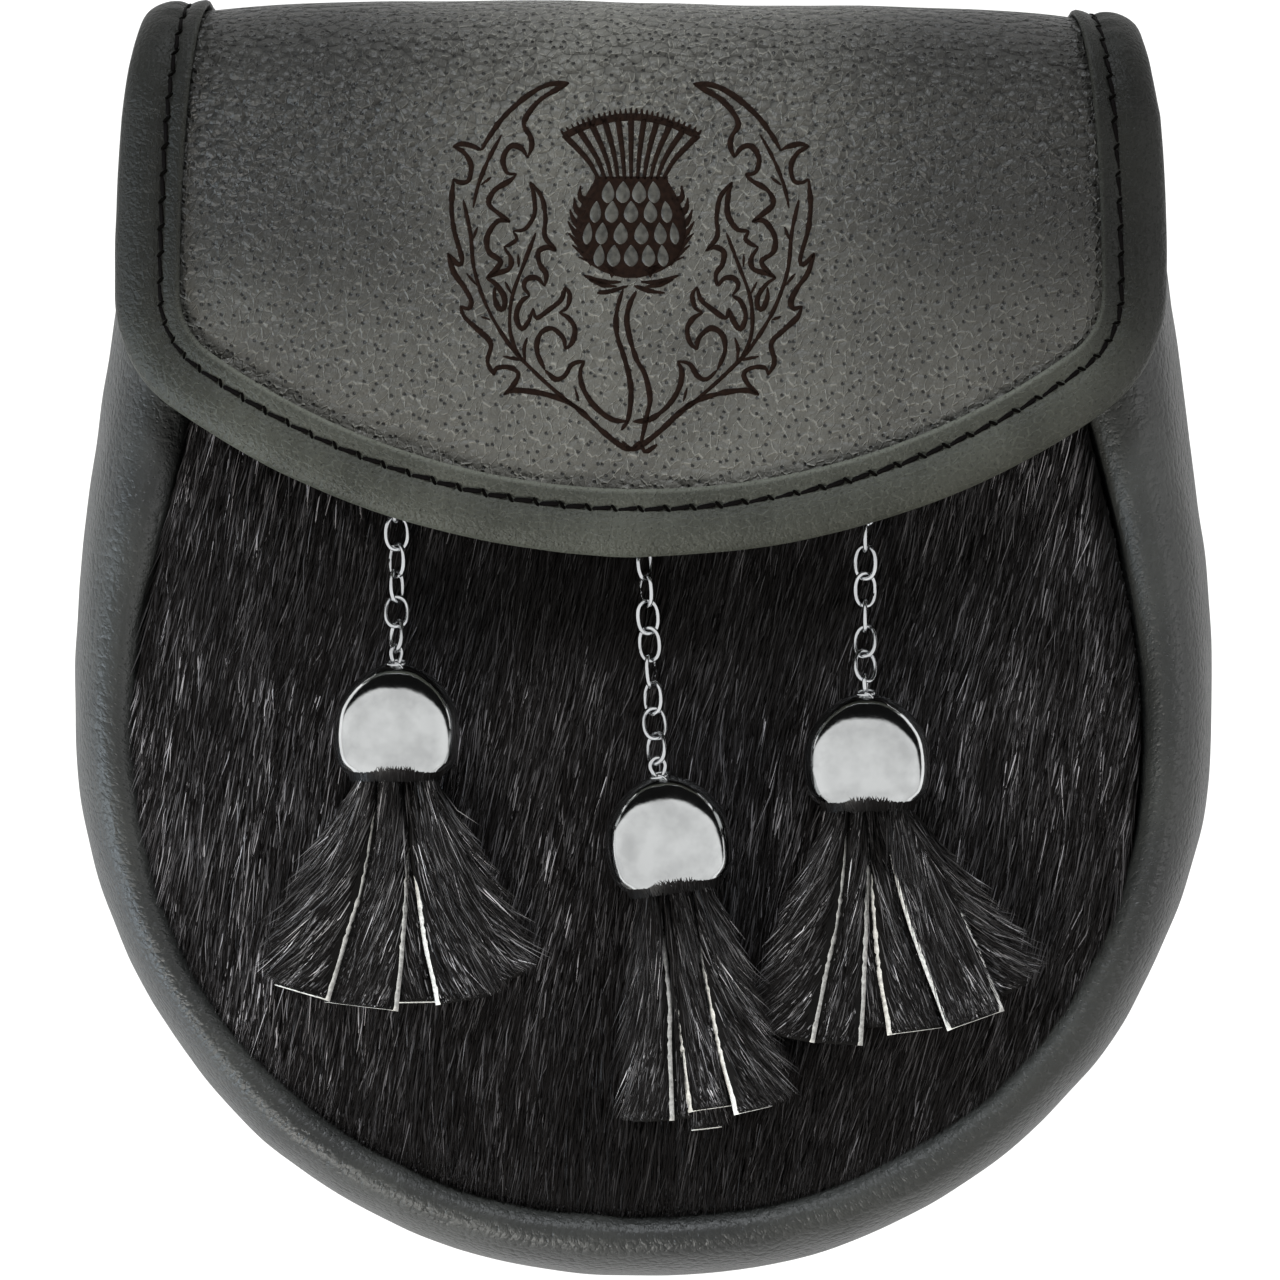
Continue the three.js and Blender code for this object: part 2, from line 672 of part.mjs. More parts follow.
function chain(tassel, eyeJoint) {
  const links = new THREE.Group();
  const pitch = LINK.length - 2 * LINK.wire - LINK.slack;
  const overFur = (distance) => {
    const x = mix(eyeJoint.x, tassel.chainTopX, distance / CHAIN.reach);
    const y = eyeJoint.y + distance;
    return new THREE.Vector3(x, y, frontHeight(x, y) + CHAIN.lift);
  };
  const lying = [CHAIN.landing, CHAIN.lying, CHAIN.reach].map(overFur);
  const curve = new THREE.CatmullRomCurve3([eyeJoint, ...lying]);
  let at = 0;
  [...tassel.rolls].reverse().forEach((rollDeg, k) => {
    const low = curve.getPoint(at);
    at = nextJoint(curve, at, pitch);
    const high = curve.getPoint(at);
    const link = new THREE.Mesh(linkGeometry(), MATERIALS.steelWire);
    link.name = `chain_${tassel.name}_link_${tassel.rolls.length - k}`;
    link.position.copy(low).lerp(high, 0.5);
    const aim = high.clone().sub(low).normalize();
    link.quaternion.setFromUnitVectors(new THREE.Vector3(0, 1, 0), aim);
    link.rotateY(radians(rollDeg));
    links.add(link);
  });
  const top = curve.getPoint(at);
  const legOffset = LOOP.radius - (LINK.wire + LINK.slack) / 2;
  const loop = new THREE.Mesh(loopGeometry(), MATERIALS.steelWire);
  loop.name = `chain_${tassel.name}_loop`;
  loop.position.set(top.x, top.y + legOffset, frontHeight(top.x, top.y + legOffset) + GAP);
  links.add(loop);
  return links;
}

// Tassels

function strip(row) {
  const rootZ = STRIP.rootSpread * (row.endZ - STRIP.endMiddleZ);
  const heading = Math.atan2(row.endX - row.rootX, STRIP.rootY - row.endY);
  const rows = STRIP_SECTIONS.map(({ along, spread, widen, fall }) => {
    const x = mix(row.rootX, row.endX, spread);
    const y = mix(STRIP.rootY, row.endY, along);
    const z = mix(rootZ, row.endZ, fall);
    const half = mix(STRIP.rootWidth, row.width, widen) / 2;
    const turn = heading * widen;
    const across = new THREE.Vector3(Math.cos(turn), Math.sin(turn), 0);
    return [-1, 1].map((side) => {
      const edge = new THREE.Vector3(x, y, z).addScaledVector(across, side * half);
      return {
        outer: edge.clone().setZ(z + STRIP.thick / 2),
        inner: edge.clone().setZ(z - STRIP.thick / 2),
      };
    });
  });
  return wallGeometry(rows);
}

function stripsGeometry(tassel) {
  const length = HEAD.top + CAP.height / 2;
  const head = new THREE.CylinderGeometry(HEAD.radius, HEAD.radius, length, HEAD.sides);
  head.translate(0, HEAD.top - length / 2, 0).scale(1, 1, CAP.depthShare);
  return fuse([head, ...tassel.strips.map(strip)]);
}

function tasselGroup(tassel) {
  const group = new THREE.Group();
  const widest = Math.max(...CAP_PROFILE.map((row) => row.radius));
  const halfDepth = widest * CAP.depthShare;
  group.position.set(tassel.x, tassel.y, frontHeight(tassel.x, tassel.y) + halfDepth + GAP);
  group.rotation.z = radians(tassel.leanDeg);
  const pieces = {
    eye: new THREE.Mesh(eyeGeometry(), MATERIALS.steelWire),
    cap: new THREE.Mesh(cap(), MATERIALS.chrome),
    strips: new THREE.Mesh(stripsGeometry(tassel), MATERIALS.stripHide),
  };
  pieces.eye.rotation.y = radians(tassel.eyeRoll);
  for (const [piece, mesh] of Object.entries(pieces)) {
    mesh.name = `tassel_${tassel.name}_${piece}`;
    group.add(mesh);
  }
  return group;
}

function eyeJointOf(group) {
  const wireY = CAP.height / 2 + EYE.topRise - (LINK.wire + LINK.slack) / 2;
  group.updateMatrixWorld();
  return new THREE.Vector3(0, wireY, 0).applyMatrix4(group.matrixWorld);
}

// The assembled sporran

const sporran = new THREE.Group();
const panels = [
  ["back_panel", backPanel(), MATERIALS.pouchLeather],
  ["gusset", gusset(), MATERIALS.pouchLeather],
  ["front_panel", frontPanel(), MATERIALS.fur],
  ["flap", flap(), MATERIALS.flapLeather],
  ["flap_binding", flapBinding(), MATERIALS.bindingLeather],
  ["press_stud", pressStud(), MATERIALS.steelWire],
];
for (const [name, geometry, material] of panels) {
  const mesh = new THREE.Mesh(geometry, material);
  mesh.name = name;
  sporran.add(mesh);
}
for (const tassel of TASSELS) {
  const group = tasselGroup(tassel);
  sporran.add(group, chain(tassel, eyeJointOf(group)));
}

export default sporran;
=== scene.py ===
"""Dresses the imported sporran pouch: leathers, fur, stitches, a burned thistle, chains, caps and tassels."""

import json
from functools import partial
from typing import NamedTuple

import bmesh
import bpy
import numpy as np
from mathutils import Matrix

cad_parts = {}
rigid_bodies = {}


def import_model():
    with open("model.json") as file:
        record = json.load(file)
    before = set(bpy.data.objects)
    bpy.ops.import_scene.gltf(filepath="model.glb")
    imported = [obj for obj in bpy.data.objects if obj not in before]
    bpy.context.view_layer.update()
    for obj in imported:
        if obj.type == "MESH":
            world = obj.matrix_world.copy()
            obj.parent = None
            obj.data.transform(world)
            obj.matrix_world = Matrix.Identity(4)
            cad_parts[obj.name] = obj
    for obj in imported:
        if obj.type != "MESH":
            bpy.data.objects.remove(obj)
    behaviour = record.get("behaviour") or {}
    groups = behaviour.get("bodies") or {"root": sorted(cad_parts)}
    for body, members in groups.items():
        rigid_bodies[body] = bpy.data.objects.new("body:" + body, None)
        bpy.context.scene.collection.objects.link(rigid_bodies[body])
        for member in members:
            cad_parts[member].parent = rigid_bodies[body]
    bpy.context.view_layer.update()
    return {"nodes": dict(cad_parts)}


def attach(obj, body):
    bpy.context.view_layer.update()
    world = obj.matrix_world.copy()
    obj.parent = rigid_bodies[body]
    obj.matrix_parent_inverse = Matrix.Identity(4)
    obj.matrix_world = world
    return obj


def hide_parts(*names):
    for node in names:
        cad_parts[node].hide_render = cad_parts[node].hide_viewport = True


bl_info = {
    "name": "Sporran Dressing",
    "version": (1, 0, 0),
    "blender": (4, 5, 0),
    "location": "View3D > Sidebar > Sporran",
    "description": "Gives the packed sporran pouch its leather, fur, stitches, thistle and tassels",
    "category": "Object",
}

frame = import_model()

MM = 0.001  # shapes are worked out in millimetres and put into the meshes in metres
BODY = "root"

# Sizes of the solids, repeated from the part's source, in millimetres

GAP = 0.3
UPPER_SHARE = 0.38


class Rim(NamedTuple):
    """A stiff panel's rim: a superellipse below the widest line, an S-curve up to the mouth above it."""

    centre_x: float
    half_width: float
    widest_y: float
    drop: float
    top_y: float
    top_half_width: float
    mouth_y: float
    roundness: float


BACK_RIM = Rim(0, 90, -7.8, 92.4, 90.5, 81, 66, 2.1)
FRONT_RIM = Rim(-0.6, 78.8, -13, 76.9, 62, 66.5, 62, 2.1)
BACK_THICK = 2.6
BACK_CORNER = 3
BACK_EDGE = (
    # inset from the rim and sink from the face, from the middle out
    (999, 0),
    (40, 0),
    (12, 0),
    (5, 0),
    (2, 0),
    (0.9, 0),
    (0.26, 0.26),
    (0, 0.9),
)
FRONT_THICK = 2.4
FRONT_CROWN_Z = 34.5
FRONT_CROWN_FALL = 3.5
FRONT_HEM = 4.5
FRONT_INSET = 1.3
GUSSET_WALL = 1.6
GUSSET_SECTION = (
    # share of the way in from the back rim to the seam, share of the way up
    (0.62, 0),
    (0.2, 0),
    (0.1, 0.07),
    (0.1, 0.34),
    (0.27, 0.8),
    (0.52, 1.03),
    (0.76, 1.08),
    (0.93, 1.03),
    (1, 0.93),
    (1, 0.8),
)


class Flap(NamedTuple):
    """The flap's flat pattern, and how it is rolled over the mouth."""

    thick: float = 2
    centre_x: float = -0.5
    tail_y: float = 72
    wall_y: float = 98.1
    low_radius: float = 12
    wall_height: float = 11.1
    high_radius: float = 17
    slope: float = np.radians(1.9)
    fold_half_width: float = 77.2
    half_width: float = 81.1
    lowest_y: float = 13
    sweep_radius: float = 125
    corner_radius: float = 21
    edge_sag: float = 9
    sag_power: float = 5
    fold_slant: float = 0.9


FLAP = Flap()
BINDING_WALL = 1.2
BINDING_REACH = 1.5
BINDING_CLEAR_OF_BACK = 7
BINDING_SECTION = (
    # inward from the flap's edge, lift from its middle
    (8.7, 1.9),
    (5.6, 1.9),
    (2.4, 2.5),
    (0.2, 2.15),
    (-0.95, 1.1),
    (-0.95, -1.1),
    (0.2, -2),
    (5.6, -1.9),
    (8.4, -1.9),
)
STITCH_LINE = 5.6
STITCHED_FACE = 2.5  # from the flap's middle to the binding's outer face
STITCH_SLANT = 0.1
STITCH_LIFT = 0.1
HOLE_SLANT = -0.85
THREAD_FLATNESS = 0.8
NEEDLE_HOLE_SHADE = (1.8, 0.55, 0.6)  # length, width and thickness of the dark patch put in a needle's hole as painted shade

LINK_LENGTH = 5.8
LINK_WIDTH = 4.1
LINK_SQUARENESS = 0.86
WIRE = 0.7
CAP_HEIGHT = 17
CAP_WALL = 0.9
CAP_DEPTH_SHARE = 0.65
CAP_SQUARENESS = 0.8
CAP_PROFILE = (
    # rise from the mouth, radius
    (0, 7.6),
    (1.8, 9),
    (4.2, 9.6),
    (7.2, 9.7),
    (10.4, 9.1),
    (13.3, 7.4),
    (15.5, 5),
    (16.7, 2.7),
    (17, 1.6),
)
CAP_WIDEST = max(radius for _, radius in CAP_PROFILE)
CAP_NECK = 0.4  # least radius of the inside
EYE_TOP_RISE = 2.9
EYE_HALF_WIDTH = 1.65
EYE_FLARE_DEPTH = 0.4
EYE_FOOT_DEPTH = 2.6
EYE_LEG_HALF_WIDTH = 0.55
EYE_TURNS = (
    # middle from the cap's top, the two half axes and the wire's radius: the turn at the foot, and its end
    ((0, 0.2, 0.3), (1.45, 0.1, 0), (0, -0.35, 1.2), 0.26),
    ((0.5, -0.35, 1.75), (0.55, -0.5, 0.3), (0.2, 0.2, 0.1), 0.2),
)
STRIP_ROOT_WIDTH = 2.6
STRIP_THICK = 1.6
STRIP_ROOT_Y = -4
STRIP_ROOT_SPREAD = 0.5
STRIP_END_MIDDLE_Z = -4.2
STRIP_SECTIONS = (
    # shares of a strip's run, side step, widening and fall
    (0, 0, 0, 0),
    (0.13, 0.09, 0.05, 0.05),
    (0.3, 0.25, 0.6, 0.4),
    (0.6, 0.56, 0.9, 0.85),
    (1, 1, 1, 1),
)


class Strip(NamedTuple):
    """One strip of hide, from the middle of its cap, with its hair's sweep in degrees and its fullness.

    pale_left and pale_right are the shares of its length below which the raw edge shows, and pale_foot is the
    width of raw edge that shows at its cut foot.
    """

    root_x: float
    end_x: float
    end_y: float
    width: float
    end_z: float
    sweep: float
    fullness: float
    pale_left: float
    pale_right: float
    pale_foot: float


class Tassel(NamedTuple):
    """One tassel: its middle, its lean and its wire eye's turn in degrees, and its strips."""

    name: str
    x: float
    y: float
    lean: float
    eye_roll: float
    strips: tuple


TASSELS = (
    Tassel("left", -38.1, -12.2, 0, 50, (
        Strip(-3.5, -14.6, -42.3, 9, -2.9, -24, 1, 1, 0.24, 0.3),
        Strip(-0.6, -5.5, -44.4, 11.2, -3.8, -15, 1.2, 1, 0.38, 0.15),
        Strip(2.4, 3.2, -43.9, 7, -5.4, 12, 0.5, 1, 1, 0.3),
        Strip(3.6, 10.2, -43.4, 9, -3.4, 15, 1, 0.5, 1, 0),
        Strip(3.3, 16.4, -40.5, 7, -4.4, 24, 0.6, 1, 1, 0),
    )),
    Tassel("middle", 3.5, -29.4, 8, 12, (
        Strip(-3.8, -8.2, -44, 6.5, -3.4, -14, 1, 1, 0.25, 0),
        Strip(-2.2, -4.4, -44.3, 4.5, -5, -4, 0.4, 1, 1, 0),
        Strip(0.6, 0.8, -43.5, 7, -4, 9, 1, 0.3, 1, 0.25),
        Strip(3.8, 7.2, -44.6, 6.5, -3, 20, 0.9, 0.3, 1, 0.2),
        Strip(0.8, -0.3, -46.6, 5, -5.6, 3, 0.4, 1, 1, 0.3),
    )),
    Tassel("right", 34.2, -16.8, 1, 80, (
        Strip(-3.6, -12.2, -44.4, 7.2, -2.9, -24, 1, 0.75, 0.2, 0),
        Strip(-1.6, -5.2, -45.4, 7.6, -3.9, -12, 0.5, 1, 0.3, 0),
        Strip(0.6, 0.6, -43, 5.5, -5.6, 8, 0.3, 1, 1, 0),
        Strip(2.2, 6.8, -43.8, 9, -4.6, 12, 0.8, 0.35, 1, 0.2),
        Strip(3.4, 16.2, -42.2, 9.6, -2.9, 4, 1.2, 0.3, 0.3, 0.2),
        Strip(3, 21.5, -38, 7, -4, 26, 0.7, 1, 1, 0),
    )),
)

# Points along and across each surface

BACK_GRID = (260, 60)  # round the sides and bottom, and along the top
FRONT_GRID = (200, 40, 22)  # round the sides and bottom, along the mouth, and from the middle out
GUSSET_GRID = (360, 46)
FLAP_GRID = (140, 64, 120)  # across, over the fold, and down the front
EDGE_GRID = (60, 60, 400)  # the bound edge over the fold, down a side, and along the lower edge
BINDING_GRID = (560, 46)
STITCH_PATH = 2400
STITCH_GRID = (7, 6)
PATCH_GRID = (3, 13)  # across a narrow and a wide burned patch
LINK_GRID = (40, 10)
CAP_GRID = (108, 32)
RING_GRID = (32, 8)
EYE_GRID = (48, 10)
STRIP_GRID = (64, 7)

# Soft relief of worn leather: height, size, stretch and seed of its hills

GUSSET_HILLS = ((0.32, 19, 1, 11), (0.16, 7, 0.7, 12))
FLAP_HILLS = ((0.3, 27, 1, 21), (0.1, 9, 1, 22))
BINDING_HILLS = ((0.14, 13, 1, 31), (0.06, 5, 1, 32))
INNER_RELIEF = 0.4  # the share of the flap's relief that its inside takes
CREASE_DEPTH = 0.1
CREASE_PITCH = 1.9
CREASED_AT = (-58, 40)  # the middle of the creased part of the flap, across and up
CREASED_SIZE = (22, 16)

# The burned thistle, in millimetres from the middle of its bulb's foot

THISTLE_AT = (-1.5, 56.7)  # across the flap from its middle, and up the front

# Left leaf: each stroke is a smooth line between two points of the leaf's edge. The right leaf mirrors it.
LEAF_EDGE = (
    ((-9.5, 28.4), (-12.7, 28.1), (-15.8, 26.5), (-19.3, 23.6), (-21.9, 20.1), (-22.9, 18.3)),
    ((-22.9, 18.3), (-24.1, 18.9), (-25.9, 19.3), (-27.3, 18.9)),
    ((-27.3, 18.9), (-25.6, 18), (-24.5, 16), (-24.9, 13.7), (-26.3, 13.4), (-27.2, 14)),
    ((-27.2, 14), (-27.5, 9.7), (-27.1, 6.1), (-25.9, 1.7), (-26.5, 0.9), (-28.1, 2.6)),
    ((-28.1, 2.6), (-27.1, -0.4), (-25.5, -2.7), (-24.5, -4.7), (-24.9, -5.9), (-26.2, -5.5)),
    ((-26.2, -5.5), (-25.5, -7.2), (-23.6, -9), (-21.5, -11.2), (-22, -14), (-21, -16.1)),
    ((-21, -16.1), (-20.6, -15), (-18.7, -14.9), (-17.3, -15.8), (-17.9, -17.4), (-19.6, -19.1)),
    ((-19.6, -19.1), (-17.6, -18.4), (-14, -18.8), (-10.3, -19.9),
     (-7.7, -21.6), (-4, -25), (-0.5, -27.4), (1.4, -26.2)),
    ((-9.5, 28.4), (-14, 25.8), (-16.4, 22.6), (-15.4, 20.4), (-15.2, 18.9), (-15.8, 17.2)),
    ((-15.8, 17.2), (-16.9, 18.7), (-18.5, 18.9), (-19.6, 17), (-19, 14.9), (-17.5, 14.7)),
    ((-17.5, 14.7), (-18.5, 13.7), (-20.9, 12.2), (-21.8, 10.2), (-20.2, 8.6), (-18.5, 7.4)),
    ((-18.5, 7.4), (-20.4, 7.5), (-22, 5.2), (-21.8, 2.8), (-20, 1.4), (-20.8, 0), (-22.2, -1.2)),
    ((-22.2, -1.2), (-20.9, -2), (-19.5, -3.9), (-19.4, -5.6), (-20.2, -5.9), (-20.9, -4.2), (-20.9, -2.6)),
    ((-15.5, 13.5), (-14.9, 11.5), (-14.8, 8.6), (-16.2, 6.3), (-18.1, 6)),
    ((-18.1, 6), (-17.5, 4.8), (-18.4, 4), (-19.5, 3.5)),
    ((-19.5, 3.5), (-18.4, 1.8), (-18.7, 0.2), (-20.6, -0.5), (-22.2, -1.2)),
    ((-15.5, 13.5), (-13.7, 11.2), (-13.1, 8), (-13.2, 5.2), (-11.4, 2.9)),
    ((-11.4, 2.9), (-12.8, 3.5), (-14.2, 2.8), (-14, 0.9), (-13, -0.6), (-13.2, -2.5)),
    ((-13.2, -2.5), (-14.4, -1.2), (-16, -1.4), (-16.4, -2.6), (-15.5, -3.9)),
    ((-15.5, -3.9), (-16.8, -4.8), (-17.6, -7), (-16.8, -9), (-15.7, -7.8), (-15, -5.8)),
    ((-15, -5.8), (-14.5, -7.3), (-12.6, -6.1), (-10.7, -4.5), (-10.1, -2.5)),
    ((-10.1, -2.5), (-9.4, -3.8), (-9.8, -5.7), (-11, -6.5)),
    ((-11, -6.5), (-9.5, -7.4), (-8.6, -9), (-9, -11), (-10.1, -12.2)),
    ((-10.1, -12.2), (-10.4, -10.4), (-12.2, -8.9), (-14, -9.9), (-14.4, -12.4), (-13.2, -15.3)),
    ((-13.2, -15.3), (-11.6, -16.7), (-10.2, -16.2), (-9, -14.4), (-7.1, -13.9)),
    ((-7.1, -13.9), (-7.8, -15.6), (-7.3, -18.2), (-5.6, -20.8), (-3, -22.8), (-0.3, -23.2)),
)
LEAF_VEINS = (
    ((-19.8, 20.7), (-21.8, 17), (-23.4, 13), (-24.2, 9.5)),
    ((-25.7, 10.8), (-24.6, 5.6), (-24, 0), (-21.9, -6),
     (-18.5, -11.6), (-14.8, -15.6), (-10.2, -19.7), (-7.2, -21.9)),
    ((-14.6, 5.7), (-16.4, 1), (-18.2, -4), (-18.6, -8.5), (-17.9, -11.6), (-16.7, -13.6)),
    ((-21.4, 14.2), (-23, 13)),
    ((-23.5, 6.6), (-24.3, 4.6)),
    ((-25.2, -0.5), (-23.6, -2.4)),
    ((-17.3, 2.5), (-17.2, 0.5)),
    ((-19.3, -1.8), (-18.3, -3.7)),
    ((-23, -7.1), (-21.6, -7.6)),
    ((-15.9, -10.3), (-16.4, -12.1), (-16.2, -14)),
    ((-19.6, -13.2), (-16.7, -13.8)),
    ((-8.6, -18), (-8, -20.1)),
)
STEM = (
    ((-1.2, -2.9), (-1.9, -5), (-2.3, -7.4), (-2.1, -10.1), (-1.2, -12.9),
     (-0.4, -15.8), (0, -18.7), (-0.4, -22.6), (-1.5, -24.5)),
    ((0.8, -3.2), (-0.3, -5.5), (-0.6, -8.4), (0.7, -13.3),
     (2.1, -15.9), (2.9, -19.6), (2.4, -22.4), (1.5, -26.5)),
    ((1.5, -26.5), (2.2, -27.8), (4, -26.7)),
)
SEPALS = (
    ((-7.3, -0.8), (-4.4, -1.8), (-1.5, -1.8)),
    ((-6.5, -1.4), (-4, -2.3), (-2.2, -2.5)),
    ((-5.2, -3.5), (-3, -3.2), (-0.5, -2.4)),
)
TUFT_HALF_WIDTH = 10.3
TUFT_TOP_Y = 23.7
TUFT_FALL = 3
TUFT_NECK_HALF_WIDTH = 4.9
TUFT_NECK_Y = 13.9
TUFT_LINES = 9
TUFT_SPIKES = 27
TUFT_SPIKE_HEIGHT = 1.4
BULB_TOP_Y = 13.7
BULB_FOOT_Y = -1.2
BULB_TOP_HALF_WIDTH = 5.6
BULB_FOOT_HALF_WIDTH = 5.2
BULB_BULGE = 3
BULB_ROUNDED = 3  # height over which the bulb's foot is rounded off
BULB_SPIKES = 7  # on each side
BULB_ROWS = ((11.9, 4), (8.9, 5), (5.6, 6), (2.2, 5))  # height of each row of scales, and how many show
SCALE_TURN = 0.41  # radians round the bulb from scale to scale
SCALE_LENGTH = 3.3
SCALE_WIDTH = 2.2
BURN_LIFT = 0.04  # the burned patches lie this much above the flap, so that they show
SCALE_LIFT = 0.03  # and the scales this much above the bulb
BURN_SINK = 0.25  # how far a patch reaches into the flap
FINE_BURN = 0.75  # width of a vein, as a share of a bold line
BURN_STEP = 0.4  # distance from point to point along a burned line
BURN_RAGGED = 0.25  # how much a burned line's width wavers
WIDE_PATCH = 2  # a patch with a greater half width gets more columns

# Fur

TONES = 32  # hairs are coloured in this many tones
FUR_LEAN = np.radians(12)  # the line of the fur's streaks, to the left of straight down
FUR_BOX = ((-79.5, -90.5), (78.5, 60))  # the corners of the open fur
FUR_INSET = 1.1  # the roots start this far inside the seam
FUR_UNDER_FLAP = 14  # and reach this far under the flap
FUR_SEED = 60
FUR_NET = 500  # how far the fur lies from the corner of the noises' net
CREST_RISE = 2.6  # the gusset's crest stands this far above the seam
CREST_FROM = 1.2  # and starts to rise this far inside it
CREST_RUN = 4.2
SEAM_TRIM = (-0.9, 0.4)  # a hair ends at most this far beyond the seam
SHORTEST_HAIR = 0.7
HAIR_LENGTHS = (0.55, 1.2)  # shortest and longest hair, as shares of the mean
HAIR_WIDTHS = (0.7, 1.3)
HAIR_HEIGHTS = (0.35, 1.25)
HAIR_MIDDLE = 0.45  # share of a hair below its bend
HAIR_ROLL = 0.5  # how much hairs turn about their own length, in radians
HAIR_LEVEL = 0.06  # how much a hair shines
COATS = {
    # length, width, height and brightness of each coat's hairs, as shares of the settings
    "fur_undercoat": (0.65, 1.5, 0.6, 0.25),
    "fur_coat": (1, 1, 1, 0.7),
    "fur_guard_hairs": (1.15, 1.1, 1.25, 1.35),
}
STRIP_CROWN = 0.5  # how much a strip of hide bows up across its middle
RAW_LIFT = 1.6  # a raw edge is turned up by this many times its width
RAW_START = 0.06  # share of a strip's length over which its raw edge comes out
TASSEL_SEED = 80
TASSEL_NET = 300  # how far the tassels lie from the corner of the noises' net
TASSEL_HAIR_LENGTHS = (0.55, 1.25)
TASSEL_ROOTS = (0.06, 0.99)  # the hairs grow between these shares of a strip's length
BARE_EDGE = 1.2  # hairs keep clear of a raw edge by this many times its width
MOUTH_HAIRS = 500  # short hairs over the edge of each cap's mouth
MOUTH_HALF_TURN = 1.1  # how far round the cap they stand, in radians
MOUTH_HAIR_RISES = (0.2, 1.5)
MOUTH_HAIR_SINK = 0.7  # their roots lie below the mouth by this share of their rise
MOUTH_HAIR_CLEAR = 0.25  # and this far off the cap
MOUTH_HAIR_SHADES = (0, 0.04)


# Small helpers

NET = 256  # random values each way in a noise's net
WELD = 0.002  # points nearer than this are one


def linear(hex_colour):
    """sRGB hex to linear light: v / 12.92 for dark values, otherwise ((v + 0.055) / 1.055) to the 2.4."""
    srgb = np.array([int(hex_colour[k : k + 2], 16) for k in (1, 3, 5)]) / 255
    return tuple(np.where(srgb <= 0.04045, srgb / 12.92, ((srgb + 0.055) / 1.055) ** 2.4))


def mix(a, b, share):
    return a + (b - a) * share


def smooth(share):
    """Smoothstep: 3t2 - 2t3 on t held between 0 and 1."""
    t = np.clip(share, 0, 1)
    return t * t * (3 - 2 * t)


def unit(vectors):
    return vectors / np.linalg.norm(vectors, axis=-1, keepdims=True)


def turned(points, angle):
    """Points turned in the XY plane by an angle in radians."""
    x, y = points[..., 0], points[..., 1]
    c, s = np.cos(angle), np.sin(angle)
    return np.stack([c * x - s * y, s * x + c * y, *np.moveaxis(points[..., 2:], -1, 0)], -1)


def value_noise(x, y, size, seed):
    """Smooth hills about size across, from -1 to 1: random values on a square net, blended by smoothstep."""
    net = np.random.default_rng(seed).uniform(-1, 1, (NET, NET))
    cell_x, cell_y = np.floor(x / size), np.floor(y / size)
    fx, fy = smooth(x / size - cell_x), smooth(y / size - cell_y)
    i, j = cell_x.astype(int) % NET, cell_y.astype(int) % NET
    i_next, j_next = (i + 1) % NET, (j + 1) % NET
    near = mix(net[i, j], net[i_next, j], fx)
    return mix(near, mix(net[i, j_next], net[i_next, j_next], fx), fy)


def hills(rows, x, y):
    """Soft relief: hills of several heights and sizes, added up."""
    return sum(height * value_noise(x, y * stretch, size, seed) for height, size, stretch, seed in rows)


def spline(points, places):
    """Catmull-Rom: a cubic through the points in turn, at places counted in points."""
    points = np.asarray(points, float)
    first, last = 2 * points[:1] - points[1:2], 2 * points[-1:] - points[-2:-1]
    padded = np.concatenate([first, points, last])
    at = np.clip(np.floor(places).astype(int), 0, len(points) - 2)
    f = (places - at).reshape((-1,) + (1,) * (points.ndim - 1))
    a, b, c, d = (padded[at + k] for k in range(4))
    return 0.5 * (2 * b + (c - a) * f + (2 * a - 5 * b + 4 * c - d) * f**2 + (3 * b - a - 3 * c + d) * f**3)


def lengths_along(path):
    """Distance from the first point to each point of a path, along the path."""
    steps = np.linalg.norm(np.diff(path, axis=0), axis=-1)
    return np.concatenate([np.zeros((1,) + steps.shape[1:]), np.cumsum(steps, axis=0)])


def evenly(path, count):
    """A path sampled again at count places the same distance apart."""
    along = lengths_along(path)
    places = np.linspace(0, along[-1], count)
    return np.stack([np.interp(places, along, path[:, k]) for k in range(path.shape[1])], -1)


def grid_faces(rows, columns, ring_rows=False, ring_columns=False):
    """Quads over a grid of points kept row by row; a ring direction joins its last line to its first."""
    i = np.arange(rows if ring_rows else rows - 1)[:, None]
    j = np.arange(columns if ring_columns else columns - 1)[None]
    i_next, j_next = (i + 1) % rows, (j + 1) % columns
    corners = [i * columns + j, i * columns + j_next, i_next * columns + j_next, i_next * columns + j]
    return np.stack(corners, -1).reshape(-1, 4)


def outward(points, faces):
    """Turns all faces over if the volume they enclose comes out negative."""
    a, b, c, d = (points[faces[:, k]] for k in range(4))
    volume = np.sum(a * (np.cross(b, c) + np.cross(c, d)))
    return faces if volume > 0 else faces[:, ::-1]


def closed_wall(outer, inner, ring=False):
    """A wall between two skins given as grids: each row goes out along one skin and back along the other."""
    loop = np.concatenate([outer, inner[:, ::-1]], axis=1)
    rows, columns = loop.shape[:2]
    faces = [grid_faces(rows, columns, ring, True)]
    if not ring:
        j = np.arange(columns // 2 - 1)
        faces.append(np.stack([j + 1, j, columns - 1 - j, columns - 2 - j], -1))
        faces.append(np.stack([j, j + 1, columns - 2 - j, columns - 1 - j], -1) + (rows - 1) * columns)
    points = loop.reshape(-1, 3)
    return points, outward(points, np.concatenate(faces))


def closed_tube(path, across, up, radius, sides):
    """A ring of wire: a circle round each point of a closed path, in the plane of across and up."""
    angle = np.linspace(0, 2 * np.pi, sides, endpoint=False)[None, :, None]
    grid = path[:, None] + radius * (np.cos(angle) * across[:, None] + np.sin(angle) * up[:, None])
    points = grid.reshape(-1, 3)
    return points, outward(points, grid_faces(len(path), sides, True, True))


def joined(shapes):
    """Several (points, faces) shapes as one."""
    starts = np.cumsum([0] + [len(points) for points, _ in shapes[:-1]])
    points = np.concatenate([points for points, _ in shapes])
    return points, np.concatenate([faces + start for (_, faces), start in zip(shapes, starts)])


